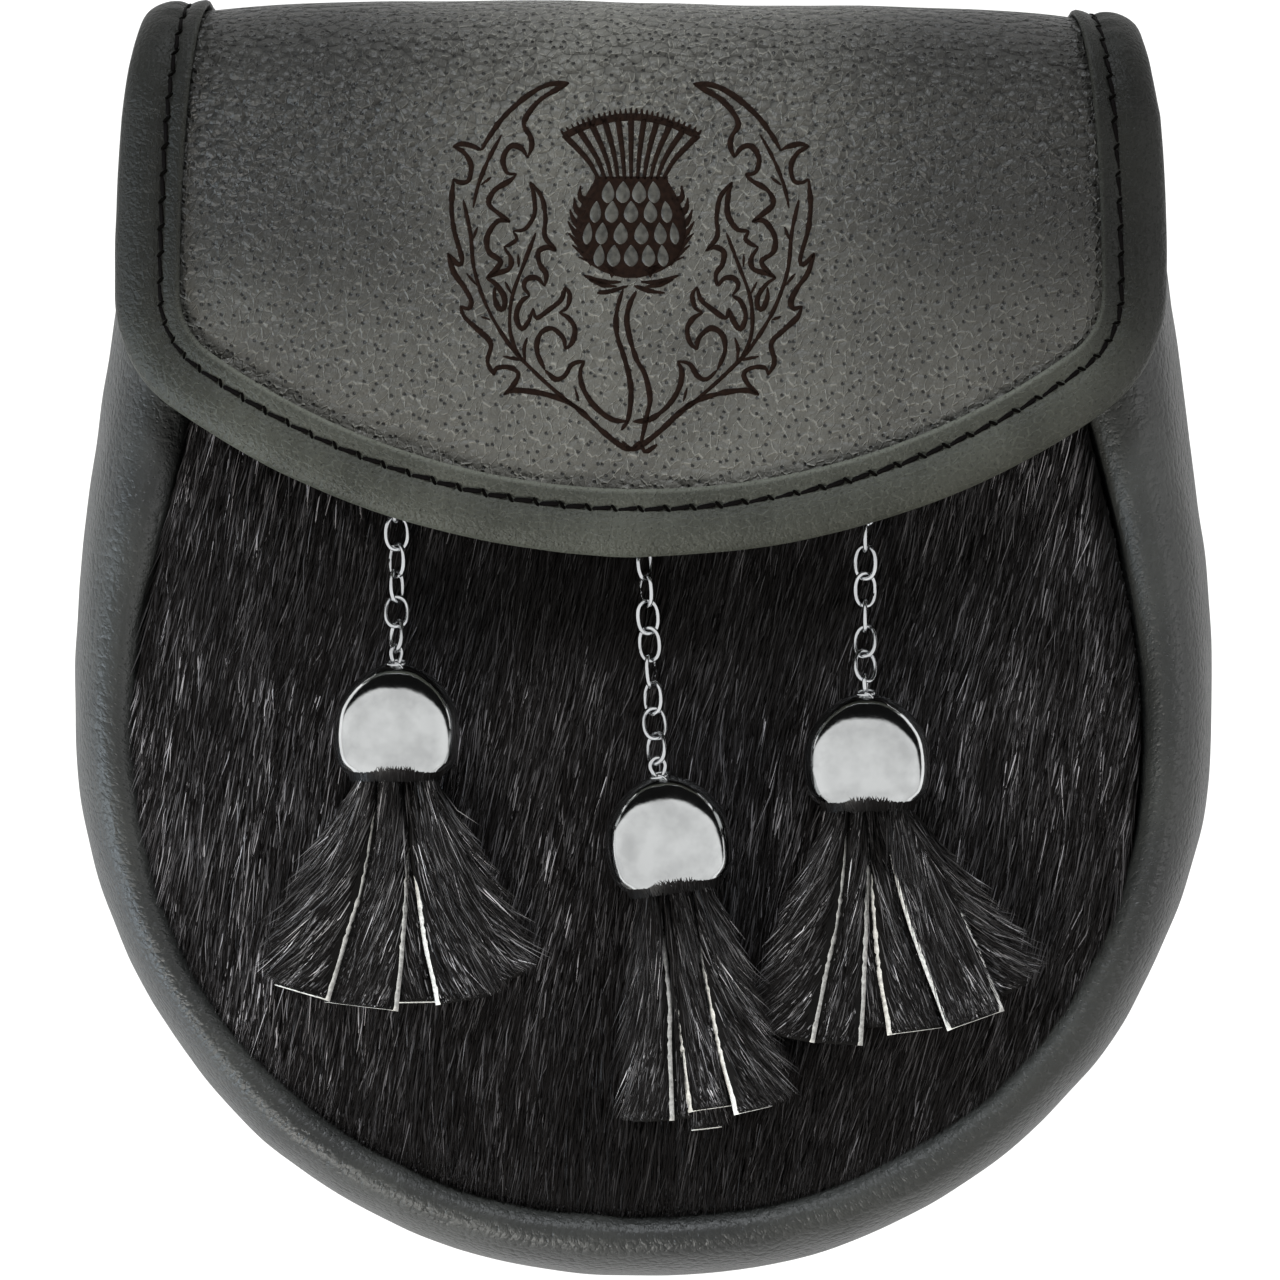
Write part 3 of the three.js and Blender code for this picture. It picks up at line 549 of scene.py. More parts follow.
def copies(points, faces, count):
    """Faces of count copies of a shape whose points come as (count, points of one, 3)."""
    start = np.arange(count)[:, None, None] * (points.shape[0] // count)
    return (faces[None] + start).reshape(-1, faces.shape[1])


def put_piece(
    name,
    shape,
    materials,
    replaced=(),
    uv=None,
    uv_name="Surface",
    weld=False,
    worn=None,
    smooth_shaded=True,
):
    """Makes a mesh object from points in millimetres, hangs it on the pouch's body and hides the CAD parts
    that it replaces.

    worn gives each face the number of its material, where there is more than one.
    """
    points, faces = shape
    mesh = bpy.data.meshes.new(name)
    mesh.vertices.add(len(points))
    mesh.vertices.foreach_set("co", (points * MM).astype(np.float32).ravel())
    mesh.loops.add(faces.size)
    mesh.loops.foreach_set("vertex_index", faces.astype(np.int32).ravel())
    mesh.polygons.add(len(faces))
    mesh.polygons.foreach_set("loop_start", np.arange(0, faces.size, faces.shape[1], dtype=np.int32))
    if uv is not None:
        layer = mesh.uv_layers.new(name=uv_name)
        layer.uv.foreach_set("vector", uv[faces.ravel()].astype(np.float32).ravel())
    if worn is not None:
        mesh.polygons.foreach_set("material_index", worn.astype(np.int32))
    mesh.update(calc_edges=True)
    if smooth_shaded:
        mesh.shade_smooth()
    if weld:
        weld_doubles(mesh)
    for material in materials:
        mesh.materials.append(material)
    piece = bpy.data.objects.new(name, mesh)
    bpy.context.scene.collection.objects.link(piece)
    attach(piece, BODY)
    if replaced:
        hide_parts(*replaced)
    return piece


def weld_doubles(mesh):
    """Merges points that lie on each other, which closes the poles of a grid."""
    work = bmesh.new()
    work.from_mesh(mesh)
    bmesh.ops.remove_doubles(work, verts=work.verts, dist=WELD * MM)
    bmesh.ops.dissolve_degenerate(work, edges=work.edges, dist=WELD / 2 * MM)
    work.to_mesh(mesh)
    work.free()


# Pouch shapes


def upper_half_width(rim, y):
    return mix(rim.half_width, rim.top_half_width, smooth((y - rim.widest_y) / (rim.top_y - rim.widest_y)))


def rim_point(rim, share):
    """The rim at shares from -1, left of the mouth, by 0, the bottom, to 1, right of the mouth."""
    from_bottom, widest = np.abs(share), 1 - UPPER_SHARE
    angle = (1 - np.minimum(from_bottom / widest, 1)) * (np.pi / 2)
    power = 2 / rim.roundness
    low_x = rim.half_width * np.clip(np.cos(angle), 0, 1) ** power
    low_y = rim.widest_y - rim.drop * np.clip(np.sin(angle), 0, 1) ** power
    high_y = mix(rim.widest_y, rim.mouth_y, np.clip((from_bottom - widest) / UPPER_SHARE, 0, 1))
    low = from_bottom < widest
    across = np.where(low, low_x, upper_half_width(rim, high_y))
    return np.stack([rim.centre_x + np.sign(share) * across, np.where(low, low_y, high_y)], -1)


def front_height(x, y):
    """The fur panel's upper face: the crown, less a fall by the square of the distance from it."""
    across = (x - FRONT_RIM.centre_x) / FRONT_RIM.half_width
    along = (y - FRONT_RIM.widest_y) / FRONT_RIM.drop
    return FRONT_CROWN_Z - FRONT_CROWN_FALL * (across**2 + along**2)


def rim_excess(x, y):
    """How far outside the front rim a point lies, in millimetres, and less than 0 inside it."""
    across = np.abs(x - FRONT_RIM.centre_x)
    down = np.maximum(FRONT_RIM.widest_y - y, 0) / FRONT_RIM.drop
    n = FRONT_RIM.roundness
    low = ((across / FRONT_RIM.half_width) ** n + down**n) ** (1 / n)
    high = across / upper_half_width(FRONT_RIM, y)
    return (np.where(y < FRONT_RIM.widest_y, low, high) - 1) * FRONT_RIM.half_width


def closed_rim(rim, stations, top_points):
    """The rim's points from the left of the mouth round to the right, and back along the mouth."""
    sides = rim_point(rim, np.linspace(-1, 1, stations))
    back = np.linspace(0, 1, top_points + 2)[1:-1, None]
    return np.concatenate([sides, mix(sides[-1:], sides[:1], back)])


def back_panel_shape():
    """A flat plate: the rim drawn in by an inset, at the height that goes with it, round a rounded edge."""
    inset, sink = np.array(BACK_EDGE).T
    insets = np.concatenate([inset, inset[::-1]])
    heights = np.concatenate([BACK_THICK - sink, sink[::-1]])
    rim = closed_rim(BACK_RIM._replace(mouth_y=BACK_RIM.top_y), *BACK_GRID)
    corner = np.clip((np.abs(rim[:, 0]) - BACK_RIM.top_half_width + BACK_CORNER) / BACK_CORNER, 0, 1)
    drop = BACK_CORNER * (1 - np.sqrt(1 - corner**2))
    rim[:, 1] = np.minimum(rim[:, 1], BACK_RIM.top_y - drop)
    to_middle = -rim
    reach = np.linalg.norm(rim, axis=1, keepdims=True)
    share = np.minimum(insets[None] / reach, 1)[..., None]
    flat = rim[:, None] + to_middle[:, None] * share
    grid = np.concatenate([flat, np.broadcast_to(heights[None, :, None], flat.shape[:2] + (1,))], -1)
    points = grid.reshape(-1, 3)
    return points, outward(points, grid_faces(len(rim), len(insets), True, False))


def gusset_shape():
    """The section's smooth curve carried round the rims: in from the back rim to the seam, and up."""
    share = np.linspace(-1, 1, GUSSET_GRID[0])
    foot, seam = rim_point(BACK_RIM, share), rim_point(FRONT_RIM, share)
    span = np.linalg.norm(seam - foot, axis=1)
    inward = (seam - foot) / span[:, None]
    foot_z = BACK_THICK + GAP + GUSSET_WALL / 2
    rise = front_height(seam[:, 0], seam[:, 1]) - foot_z
    table = np.array(GUSSET_SECTION)
    bends = np.stack([table[:, :1] * span, foot_z + table[:, 1:] * rise], -1)
    section = spline(bends, np.linspace(0, len(table) - 1, GUSSET_GRID[1]))
    tangent = np.gradient(section, axis=0)
    normal = unit(np.stack([-tangent[..., 1], tangent[..., 0]], -1))
    along = np.broadcast_to(lengths_along(foot), section.shape[:2])
    across = lengths_along(section)
    relief = hills(GUSSET_HILLS, along, across)
    skins = [section + normal * (GUSSET_WALL / 2 + relief)[..., None], section - normal * GUSSET_WALL / 2]
    outer, inner = (
        np.concatenate([foot + inward * skin[..., :1], skin[..., 1:]], -1).swapaxes(0, 1) for skin in skins
    )
    uv = np.stack([along - along[0, -1] / 2, across], -1).swapaxes(0, 1)
    uv = np.concatenate([uv, uv[:, ::-1]], 1).reshape(-1, 2) * MM
    return closed_wall(outer, inner), uv


def front_hide_shape():
    """The domed panel: rings from the middle to the rim on both faces, and a hem turned into the seam."""
    centre = np.array([FRONT_RIM.centre_x, FRONT_RIM.widest_y])
    rim = closed_rim(FRONT_RIM, *FRONT_GRID[:2])
    reach = np.linalg.norm(centre - rim, axis=1, keepdims=True)
    shares = np.linspace(0, 1, FRONT_GRID[2])[None, :, None]

    def skin(inset, sink):
        edge = rim + (centre - rim) * (inset / reach)
        flat = centre + (edge - centre)[:, None] * shares
        height = front_height(flat[..., 0], flat[..., 1])[..., None] - sink
        hem_z = front_height(edge[:, 0], edge[:, 1])[:, None] - FRONT_HEM
        hem = np.concatenate([edge, hem_z], -1)[:, None]
        return np.concatenate([np.concatenate([flat, height], -1), hem], 1)

    return closed_wall(skin(FRONT_INSET, 0), skin(FRONT_INSET + FRONT_THICK, FRONT_THICK), ring=True)


# Flap shapes

TAIL_Z = BACK_THICK + GAP + FLAP.thick / 2
HIGH_SWEEP = np.pi / 2 + FLAP.slope
LOW_AT = FLAP.wall_y - FLAP.low_radius - FLAP.tail_y
WALL_AT = LOW_AT + FLAP.low_radius * np.pi / 2
HIGH_AT = WALL_AT + FLAP.wall_height
FRONT_AT = HIGH_AT + FLAP.high_radius * HIGH_SWEEP
FRONT_START_Y = FLAP.wall_y - FLAP.high_radius * (1 - np.cos(HIGH_SWEEP))
FOLD_EDGE_X = FLAP.fold_half_width - BINDING_REACH


def length_at_y(y):
    """The flap's length from its tail at which its front reaches y."""
    return FRONT_AT + (FRONT_START_Y - y) / np.cos(FLAP.slope)


def rolled(length):
    """Side view of the flap: along the back, round a low arc, up a wall, round a high arc, down the front."""
    low_turn = np.clip((length - LOW_AT) / FLAP.low_radius, 0, np.pi / 2)
    high_turn = np.clip((length - HIGH_AT) / FLAP.high_radius, 0, HIGH_SWEEP)
    heading = low_turn + high_turn
    beyond = np.maximum(length - FRONT_AT, 0)
    y = FLAP.tail_y + np.minimum(length, LOW_AT) + FLAP.low_radius * np.sin(low_turn)
    y = y - FLAP.high_radius * (1 - np.cos(high_turn)) + beyond * np.cos(heading)
    z = TAIL_Z + FLAP.low_radius * (1 - np.cos(low_turn)) + np.clip(length - WALL_AT, 0, FLAP.wall_height)
    z = z + FLAP.high_radius * np.sin(high_turn) + beyond * np.sin(heading)
    return y, z, heading


def flap_point(x, length, lift):
    """A place on the flat pattern, rolled up, sagging to its side edges, and moved outwards by lift."""
    y, z, heading = rolled(length)
    free = (1 - np.cos(heading)) / 2
    over_fold = np.sin(np.pi * np.clip((length - LOW_AT) / (FRONT_AT - LOW_AT), 0, 1))
    sag = FLAP.edge_sag * free * np.abs(x / FLAP.half_width) ** FLAP.sag_power
    out = lift - sag - FLAP.fold_slant * over_fold * (x / FLAP.half_width)
    return np.stack([x + FLAP.centre_x, y + out * np.sin(heading), z - out * np.cos(heading)], -1)


def lower_edge(share):
    """The pattern's lower edge by share of its length: a corner arc, a long sweep and a corner arc."""
    sweep_y = FLAP.lowest_y + FLAP.sweep_radius
    corner_x = FLAP.half_width - FLAP.corner_radius
    reach = FLAP.sweep_radius - FLAP.corner_radius
    corner_y = sweep_y - np.sqrt(reach**2 - corner_x**2)
    half = np.arcsin(corner_x / reach)
    small, large = FLAP.corner_radius - BINDING_REACH, FLAP.sweep_radius - BINDING_REACH
    corner_long, sweep_long = small * (np.pi / 2 - half), large * 2 * half
    at = share * (2 * corner_long + sweep_long)
    in_left, in_sweep = at < corner_long, at < corner_long + sweep_long
    angle = np.select(
        [in_left, in_sweep],
        [np.pi + at / small, 1.5 * np.pi - half + (at - corner_long) / large],
        1.5 * np.pi + half + (at - corner_long - sweep_long) / small,
    )
    radius = np.where(in_sweep & ~in_left, large, small)
    centre_x = np.select([in_left, in_sweep], [-corner_x, 0], corner_x)
    centre_y = np.where(in_sweep & ~in_left, sweep_y, corner_y)
    return centre_x + radius * np.cos(angle), centre_y + radius * np.sin(angle)


def pattern_point(u, length):
    """The flat pattern at u from -1 to 1 across: past the fold's wall it widens as a sine of its length."""
    edge_x, edge_y = lower_edge((u + 1) / 2)
    share = np.clip((length - HIGH_AT) / (length_at_y(edge_y) - HIGH_AT), 0, 1)
    return mix(u * FOLD_EDGE_X, edge_x, np.sin(share * np.pi / 2)), length + 0 * u


def pattern_at(u, t):
    """The pattern's front: u from -1 to 1 across, t from the fold to the lower edge."""
    edge_y = lower_edge((u + 1) / 2)[1]
    return pattern_point(u, mix(FRONT_AT, length_at_y(edge_y), t))


def flap_relief(x, length):
    """Soft hollows of worn leather, and slanting creases by the lower left corner."""
    soft = hills(FLAP_HILLS, x + 200, length)
    along, across = x * 0.8 + length * 0.6, length * 0.8 - x * 0.6
    (middle_x, middle_y), (wide, high) = CREASED_AT, CREASED_SIZE
    by_corner = np.exp(-(((x - middle_x) / wide) ** 2) - ((length - length_at_y(middle_y)) / high) ** 2)
    waver = 1.6 * value_noise(along + 300, across + 300, 12, 23)
    creases = np.sin(across / CREASE_PITCH + waver) ** 4
    return soft - CREASE_DEPTH * by_corner * creases


def flap_shape():
    """The pattern's grid, rolled up, with a skin on each side of it."""
    across, over_fold, down_front = FLAP_GRID
    u = np.sin(np.linspace(-1, 1, across) * np.pi / 2)
    tail = np.linspace(0, FRONT_AT, over_fold)[:-1]
    t = np.linspace(0, 1, down_front)[:, None]
    parts = zip(pattern_point(u[None], tail[:, None]), pattern_at(u[None], t))
    x, length = (np.concatenate(part) for part in parts)
    relief = flap_relief(x, length)
    outer = flap_point(x, length, FLAP.thick / 2 + relief)
    inner = flap_point(x, length, -FLAP.thick / 2 + INNER_RELIEF * relief)
    uv = np.stack([x, length], -1)
    uv = np.concatenate([uv, uv[:, ::-1]], 1).reshape(-1, 2) * MM
    return closed_wall(outer, inner), uv


def bound_edge(count):
    """The pattern's bound edge from the left of the fold round to the right: points and inward directions."""
    over_fold, down_side, along_foot = EDGE_GRID
    lengths = np.linspace(LOW_AT + BINDING_CLEAR_OF_BACK, FRONT_AT, over_fold)[:-1]
    left = np.stack(pattern_point(np.full_like(lengths, -1), lengths), -1)
    side = np.stack(pattern_at(np.array(-1.0), np.linspace(0, 1, down_side)[:-1]), -1)
    lower = np.stack(pattern_at(np.linspace(-1, 1, along_foot), 1.0), -1)
    half = np.concatenate([left, side])
    path = evenly(np.concatenate([half, lower, half[::-1] * (-1, 1)]), count)
    along = unit(np.gradient(path, axis=0))
    return path, np.stack([along[:, 1], -along[:, 0]], -1)


def binding_shape(pitch, groove):
    """The strip's section carried along the bound edge, pressed in at the stitches and puffed beyond them."""
    path, inward = bound_edge(BINDING_GRID[0])
    along = lengths_along(path)[None]
    table = np.array(BINDING_SECTION)
    section = spline(table, np.linspace(0, len(table) - 1, BINDING_GRID[1]))
    tangent = np.gradient(section, axis=0)
    normal = unit(np.stack([tangent[:, 1], -tangent[:, 0]], -1))
    across = lengths_along(section)
    from_end = np.minimum(across, across[-1] - across)
    rounded = np.sqrt(1 - (1 - np.clip(from_end / 0.7, 0.1, 1)) ** 2)[:, None]
    from_stitch = section[:, :1] - STITCH_LINE
    pull = np.cos(2 * np.pi * along / pitch)
    press = groove * np.exp(-((from_stitch / 0.8) ** 2)) * (1 + 0.3 * pull)
    pucker = 0.1 * pull * np.exp(-(((from_stitch + 2) / 1.3) ** 2))
    worn = hills(BINDING_HILLS, along, across[:, None])
    outer_lift = (BINDING_WALL / 2) * rounded - press - pucker + worn

    def skin(lift):
        place = section[:, None] + normal[:, None] * lift[..., None]
        x = path[None, :, 0] + inward[None, :, 0] * place[..., 0]
        length = path[None, :, 1] + inward[None, :, 1] * place[..., 0]
        return flap_point(x, length, place[..., 1]).swapaxes(0, 1)

    inner_lift = -(BINDING_WALL / 2) * rounded * np.ones_like(along)
    uv = np.stack(np.broadcast_arrays(along - along[0, -1] / 2, across[:, None]), -1).swapaxes(0, 1)
    uv = np.concatenate([uv, uv[:, ::-1]], 1).reshape(-1, 2) * MM
    return closed_wall(skin(outer_lift), skin(inner_lift)), uv


def capsule(long, wide, high):
    """A stitch's thread: long by the sine of an angle from end to end, thick by the root of its cosine."""
    rows, columns = STITCH_GRID
    end = np.linspace(-np.pi / 2, np.pi / 2, rows)[:, None]
    around = np.linspace(0, 2 * np.pi, columns, endpoint=False)[None]
    thick = np.sqrt(np.clip(np.cos(end), 0, 1))
    x = long / 2 * np.sin(end)
    y, z = wide / 2 * thick * np.cos(around), high / 2 * thick * np.sin(around)
    points = np.stack(np.broadcast_arrays(x, y, z), -1).reshape(-1, 3)
    return points, outward(points, grid_faces(rows, columns, False, True))


def along_binding(shape, pitch, offset, turn, lift):
    """Copies of a small shape at each pitch along the stitch line, on the strip's upper and under side."""
    path, inward = bound_edge(STITCH_PATH)
    along = lengths_along(path)
    count = int(along[-1] / pitch)
    places = ((np.arange(count) + offset) * along[-1] / count)[:, None]
    points, faces = shape
    points = turned(points, turn)
    shapes = []
    for side in (1, -1):
        at, inset = places + points[:, 0], STITCH_LINE + points[:, 1]
        edge, inwards = ([np.interp(at, along, rows[:, k]) for k in (0, 1)] for rows in (path, inward))
        x, length = (start + step * inset for start, step in zip(edge, inwards))
        flat = flap_point(x, length, side * (lift + points[:, 2])).reshape(-1, 3)
        shapes.append((flat, outward(flat, copies(flat, faces, count))))
    return joined(shapes)


# Burned thistle


def on_flap(line, half, lift):
    """A thin patch burned into the flap: a line on it, widened to both sides by half, and raised by lift."""
    across = unit(np.gradient(line, axis=0))[:, ::-1] * (-1, 1)
    columns = np.linspace(-1, 1, PATCH_GRID[int(np.max(half) >= WIDE_PATCH)])
    edges = line[:, None] + across[:, None] * half[:, None, None] * columns[None, :, None]
    x = edges[..., 0] + THISTLE_AT[0]
    length = length_at_y(edges[..., 1] + THISTLE_AT[1])
    surface = FLAP.thick / 2 + flap_relief(x, length)
    return closed_wall(flap_point(x, length, surface + lift), flap_point(x, length, surface - BURN_SINK))


def ribbon(stroke, width, taper=2.2):
    """A stroke's smooth line as a thin strip, narrowed by the root of the distance from its ends."""
    stroke = np.asarray(stroke, float)
    fine = spline(stroke, np.linspace(0, len(stroke) - 1, 12 * len(stroke)))
    long = lengths_along(fine)[-1]
    line = evenly(fine, max(5, int(long / BURN_STEP)))
    along = lengths_along(line)
    from_end = np.minimum(along, along[-1] - along)
    ragged = 1 + BURN_RAGGED * value_noise(line[:, 0] + 100, line[:, 1] + 100, 1.1, 25)
    half = width / 2 * ragged * (0.25 + 0.75 * np.sqrt(np.clip(from_end / taper, 0, 1)))
    return on_flap(line, half, BURN_LIFT)


def tuft_shapes(width):
    """A fan of wedges from the tuft's bowed top to its neck, and short spikes standing on the bow."""
    share = np.linspace(-1, 1, TUFT_LINES + 2)
    top = np.stack([share * TUFT_HALF_WIDTH, TUFT_TOP_Y - TUFT_FALL * share**2], -1)
    neck = np.stack([share * TUFT_NECK_HALF_WIDTH, np.full_like(share, TUFT_NECK_Y)], -1)
    middle = mix(top, neck, 0.55) * (0.92, 1)
    places = np.linspace(0, 2, 20)
    wedge = width * np.linspace(0.62, 0.34, 20)
    shapes = [on_flap(spline(fan, places), wedge, BURN_LIFT) for fan in np.stack([top, middle, neck], 1)]
    bow = np.linspace(-1, 1, 40)
    rim = np.stack([bow * TUFT_HALF_WIDTH, TUFT_TOP_Y - 0.3 - TUFT_FALL * bow**2], -1)
    shapes.append(on_flap(rim, np.full(40, 0.7 * width), BURN_LIFT))
    spike = np.linspace(-0.98, 0.98, TUFT_SPIKES)
    root = np.stack([spike * TUFT_HALF_WIDTH, TUFT_TOP_Y - 0.4 - TUFT_FALL * spike**2], -1)
    tip = root + np.stack([0.7 * spike, TUFT_SPIKE_HEIGHT - 0.4 * np.abs(spike)], -1)
    return shapes + [ribbon(stroke, 0.8 * width) for stroke in np.stack([root, tip], 1)]


def bulb_half_width(y):
    """A bulb: from the neck's width to the foot's, a bulge by half a sine, and a foot rounded by a circle."""
    share = np.clip((BULB_TOP_Y - y) / (BULB_TOP_Y - BULB_FOOT_Y), 0, 1)
    side = mix(BULB_TOP_HALF_WIDTH, BULB_FOOT_HALF_WIDTH, share) + BULB_BULGE * np.sin(np.pi * share)
    from_foot = np.clip((y - BULB_FOOT_Y) / BULB_ROUNDED, 0.02, 1)
    return side * np.sqrt(1 - (1 - from_foot) ** 2)


def bulb_shapes(width):
    """The bulb's dark ground, with spikes up both of its sides."""
    y = np.linspace(BULB_TOP_Y + 0.6, BULB_FOOT_Y, 40)
    shapes = [on_flap(np.stack([0 * y, y], -1), bulb_half_width(y), BURN_LIFT)]
    for foot_y in np.linspace(BULB_FOOT_Y + 0.6, BULB_TOP_Y - 3.4, BULB_SPIKES):
        root, tip = bulb_half_width(foot_y) - 0.9, bulb_half_width(foot_y + 2) + 1.3
        for side in (-1, 1):
            spike = ((side * root, foot_y), (side * (root + 1.2), foot_y + 0.9), (side * tip, foot_y + 2.6))
            line = spline(spike, np.linspace(0, 2, 12))
            shapes.append(on_flap(line, np.linspace(width, 0.1, 12), BURN_LIFT))
    return shapes


def scale_shapes():
    """The bulb's pale scales: pointed ovals in staggered rows, narrower where the bulb turns away."""
    shapes = []
    for y, count in BULB_ROWS:
        for k in range(count):
            turn = (k - (count - 1) / 2) * SCALE_TURN
            rise = np.linspace(-0.5, 0.5, 14) * SCALE_LENGTH
            x = (bulb_half_width(y) - 0.6) * np.sin(turn) * (1 - 0.02 * rise)
            share = np.linspace(0.01, 0.99, 14)
            half = SCALE_WIDTH / 2 * np.cos(turn) ** 0.7 * np.sin(np.pi * share**0.75) ** 0.8
            shapes.append(on_flap(np.stack([x, y + rise], -1), half, BURN_LIFT + SCALE_LIFT))
    return joined(shapes)


def thistle_shape(width):
    """All the burned strokes of the thistle: two mirrored leaves, stem, sepals, bulb and tuft."""
    mirrored = [tuple((-x, y) for x, y in stroke) for stroke in LEAF_EDGE + SEPALS]
    mirrored_veins = [tuple((-x, y) for x, y in stroke) for stroke in LEAF_VEINS]
    bold = [*LEAF_EDGE, *SEPALS, *mirrored, *STEM]
    fine = [*LEAF_VEINS, *mirrored_veins]
    shapes = [ribbon(stroke, width) for stroke in bold]
    shapes += [ribbon(stroke, width * FINE_BURN) for stroke in fine]
    return joined(shapes + tuft_shapes(width) + bulb_shapes(width))


# Metal shapes


def link_shape(node):
    """An oval ring of wire laid on a CAD link, whose long, wide and thin axes are its points' main axes."""
    cloud = node_points(node)
    middle = cloud.mean(0)
    long_axis, wide_axis, thin_axis = np.linalg.svd(cloud - middle, full_matrices=False)[2]
    angle = np.linspace(0, 2 * np.pi, 36, endpoint=False)

    def soften(value):
        return np.sign(value) * np.abs(value) ** LINK_SQUARENESS

    half_long, half_wide = (LINK_LENGTH - WIRE) / 2, (LINK_WIDTH - WIRE) / 2
    flat = np.stack([half_wide * soften(np.sin(angle)), half_long * soften(np.cos(angle))], -1)
    flat = evenly(np.concatenate([flat, flat[:1]]), LINK_GRID[0] + 1)[:-1]
    tangent = unit(np.roll(flat, -1, 0) - np.roll(flat, 1, 0))
    across = tangent[:, 1:] * wide_axis - tangent[:, :1] * long_axis
    path = middle + flat[:, :1] * wide_axis + flat[:, 1:] * long_axis
    return closed_tube(path, across, np.broadcast_to(thin_axis, path.shape), WIRE / 2, LINK_GRID[1])


def node_points(node):
    """The separate points of a CAD node's mesh, in millimetres."""
    mesh = frame["nodes"][node].data
    flat = np.empty(len(mesh.vertices) * 3, np.float32)
    mesh.vertices.foreach_get("co", flat)
    return np.unique(np.round(flat.reshape(-1, 3) / MM, 4), axis=0)


def on_tassel(tassel, points):
    """Points in a tassel's own frame, with its axis along Y, put in their place on the fur."""
    height = front_height(tassel.x, tassel.y) + CAP_WIDEST * CAP_DEPTH_SHARE + GAP
    return turned(points, np.radians(tassel.lean)) + np.array([tassel.x, tassel.y, height])


def cap_shape(tassel):
    """A bell: its profile, with a wall's thickness, swung round the tassel's axis and pressed flatter."""
    stations, rows = CAP_GRID
    table = np.array(CAP_PROFILE)
    outer = spline(table[:, ::-1], np.linspace(0, len(table) - 1, rows))
    outer[:, 1] -= CAP_HEIGHT / 2
    tangent = np.gradient(outer, axis=0)
    inner = outer + CAP_WALL * unit(np.stack([-tangent[:, 1], tangent[:, 0]], -1))
    inner[:, 0] = np.maximum(inner[:, 0], CAP_NECK)
    radius, y = np.concatenate([outer, inner[::-1]]).T
    angle = np.linspace(0, 2 * np.pi, stations, endpoint=False)[:, None]
    wide, deep = (np.sign(part) * np.abs(part) ** CAP_SQUARENESS for part in (np.cos(angle), np.sin(angle)))
    flat = [radius * wide, y + 0 * angle, CAP_DEPTH_SHARE * radius * deep]
    points = on_tassel(tassel, np.stack(flat, -1)).reshape(-1, 3)
    return points, outward(points, grid_faces(stations, len(radius), True, True))


def wire_ring(middle, long_axis, short_axis, radius):
    """A bent ring of wire: an ellipse on two half axes."""
    points, sides = RING_GRID
    angle = np.linspace(0, 2 * np.pi, points, endpoint=False)[:, None]
    out = np.cos(angle) * long_axis + np.sin(angle) * short_axis
    normal = unit(np.cross(long_axis, short_axis))
    return closed_tube(middle + out, unit(out), np.broadcast_to(normal, out.shape), radius, sides)


def eye_shape(tassel):
    """The cap's wire eye: a hairpin with a round top, a flat turn of wire at its foot and a twisted end."""
    points, sides = EYE_GRID
    angle = np.linspace(0, 2 * np.pi, points, endpoint=False)
    apex = CAP_HEIGHT / 2
    y = mix(apex - EYE_FOOT_DEPTH, apex + EYE_TOP_RISE, (1 + np.cos(angle)) / 2)
    flare = smooth((y - apex + EYE_FLARE_DEPTH) / EYE_TOP_RISE)
    x = mix(EYE_LEG_HALF_WIDTH, EYE_HALF_WIDTH, flare) * np.sin(angle)
    turn = np.radians(tassel.eye_roll)
    wide = np.array([np.cos(turn), 0, -np.sin(turn)])
    flat_normal = np.array([np.sin(turn), 0, np.cos(turn)])
    path = x[:, None] * wide + y[:, None] * np.array([0, 1, 0])
    tangent = unit(np.roll(path, -1, 0) - np.roll(path, 1, 0))
    across, up = np.cross(tangent, flat_normal), np.broadcast_to(flat_normal, path.shape)
    shapes = [closed_tube(path, across, up, WIRE / 2, sides)]
    for middle, long_axis, short_axis, radius in EYE_TURNS:
        place = np.array([0, apex, 0]) + middle
        shapes.append(wire_ring(place, np.array(long_axis), np.array(short_axis), radius))
    points, faces = joined(shapes)
    return on_tassel(tassel, points), faces


# Fur shapes


def hairs_shape(root, middle, tip, half_side, shade):
    """Flat hairs of three triangles: two points at the root, two half way along, one at the tip.

    The map gives each hair one of TONES upright strips by its shade, and runs up it from root to tip,
    so that a material can colour a hair by its map alone.
    """
    points = np.stack([root - half_side, root + half_side, middle - half_side, middle + half_side, tip], 1)
    faces = np.array([[0, 1, 3], [0, 3, 2], [2, 3, 4]])
    flat = points.reshape(-1, 3)
    strip = np.clip(np.floor(shade * TONES), 0, TONES - 1)[:, None] + 0.5
    u = (strip + np.array([-0.35, 0.35, -0.35, 0.35, 0])) / TONES
    v = np.broadcast_to([0.02, 0.02, 0.5, 0.5, 0.98], u.shape)
    uv = np.stack([u, v], -1).reshape(-1, 2)
    return (flat, copies(flat, faces, len(root))), uv


def scattered_on_front(count, rng):
    """Random places on the part of the fur that the flap leaves open, and a little way under it."""
    found = np.empty((0, 2))
    while len(found) < count:
        trial = rng.uniform(*FUR_BOX, (count, 2))
        x, y = trial.T
        flap_y = FLAP.lowest_y + FLAP.sweep_radius - np.sqrt(FLAP.sweep_radius**2 - x**2)
        open_fur = (rim_excess(x, y) < -FUR_INSET) & (y < flap_y + FUR_UNDER_FLAP)
        found = np.concatenate([found, trial[open_fur]])
    return found[:count]


def fur_height(x, y):
    """The surface that hairs lie on: the dome, and beyond the seam the soft slope of the gusset's crest."""
    return front_height(x, y) + CREST_RISE * smooth((rim_excess(x, y) + CREST_FROM) / CREST_RUN)


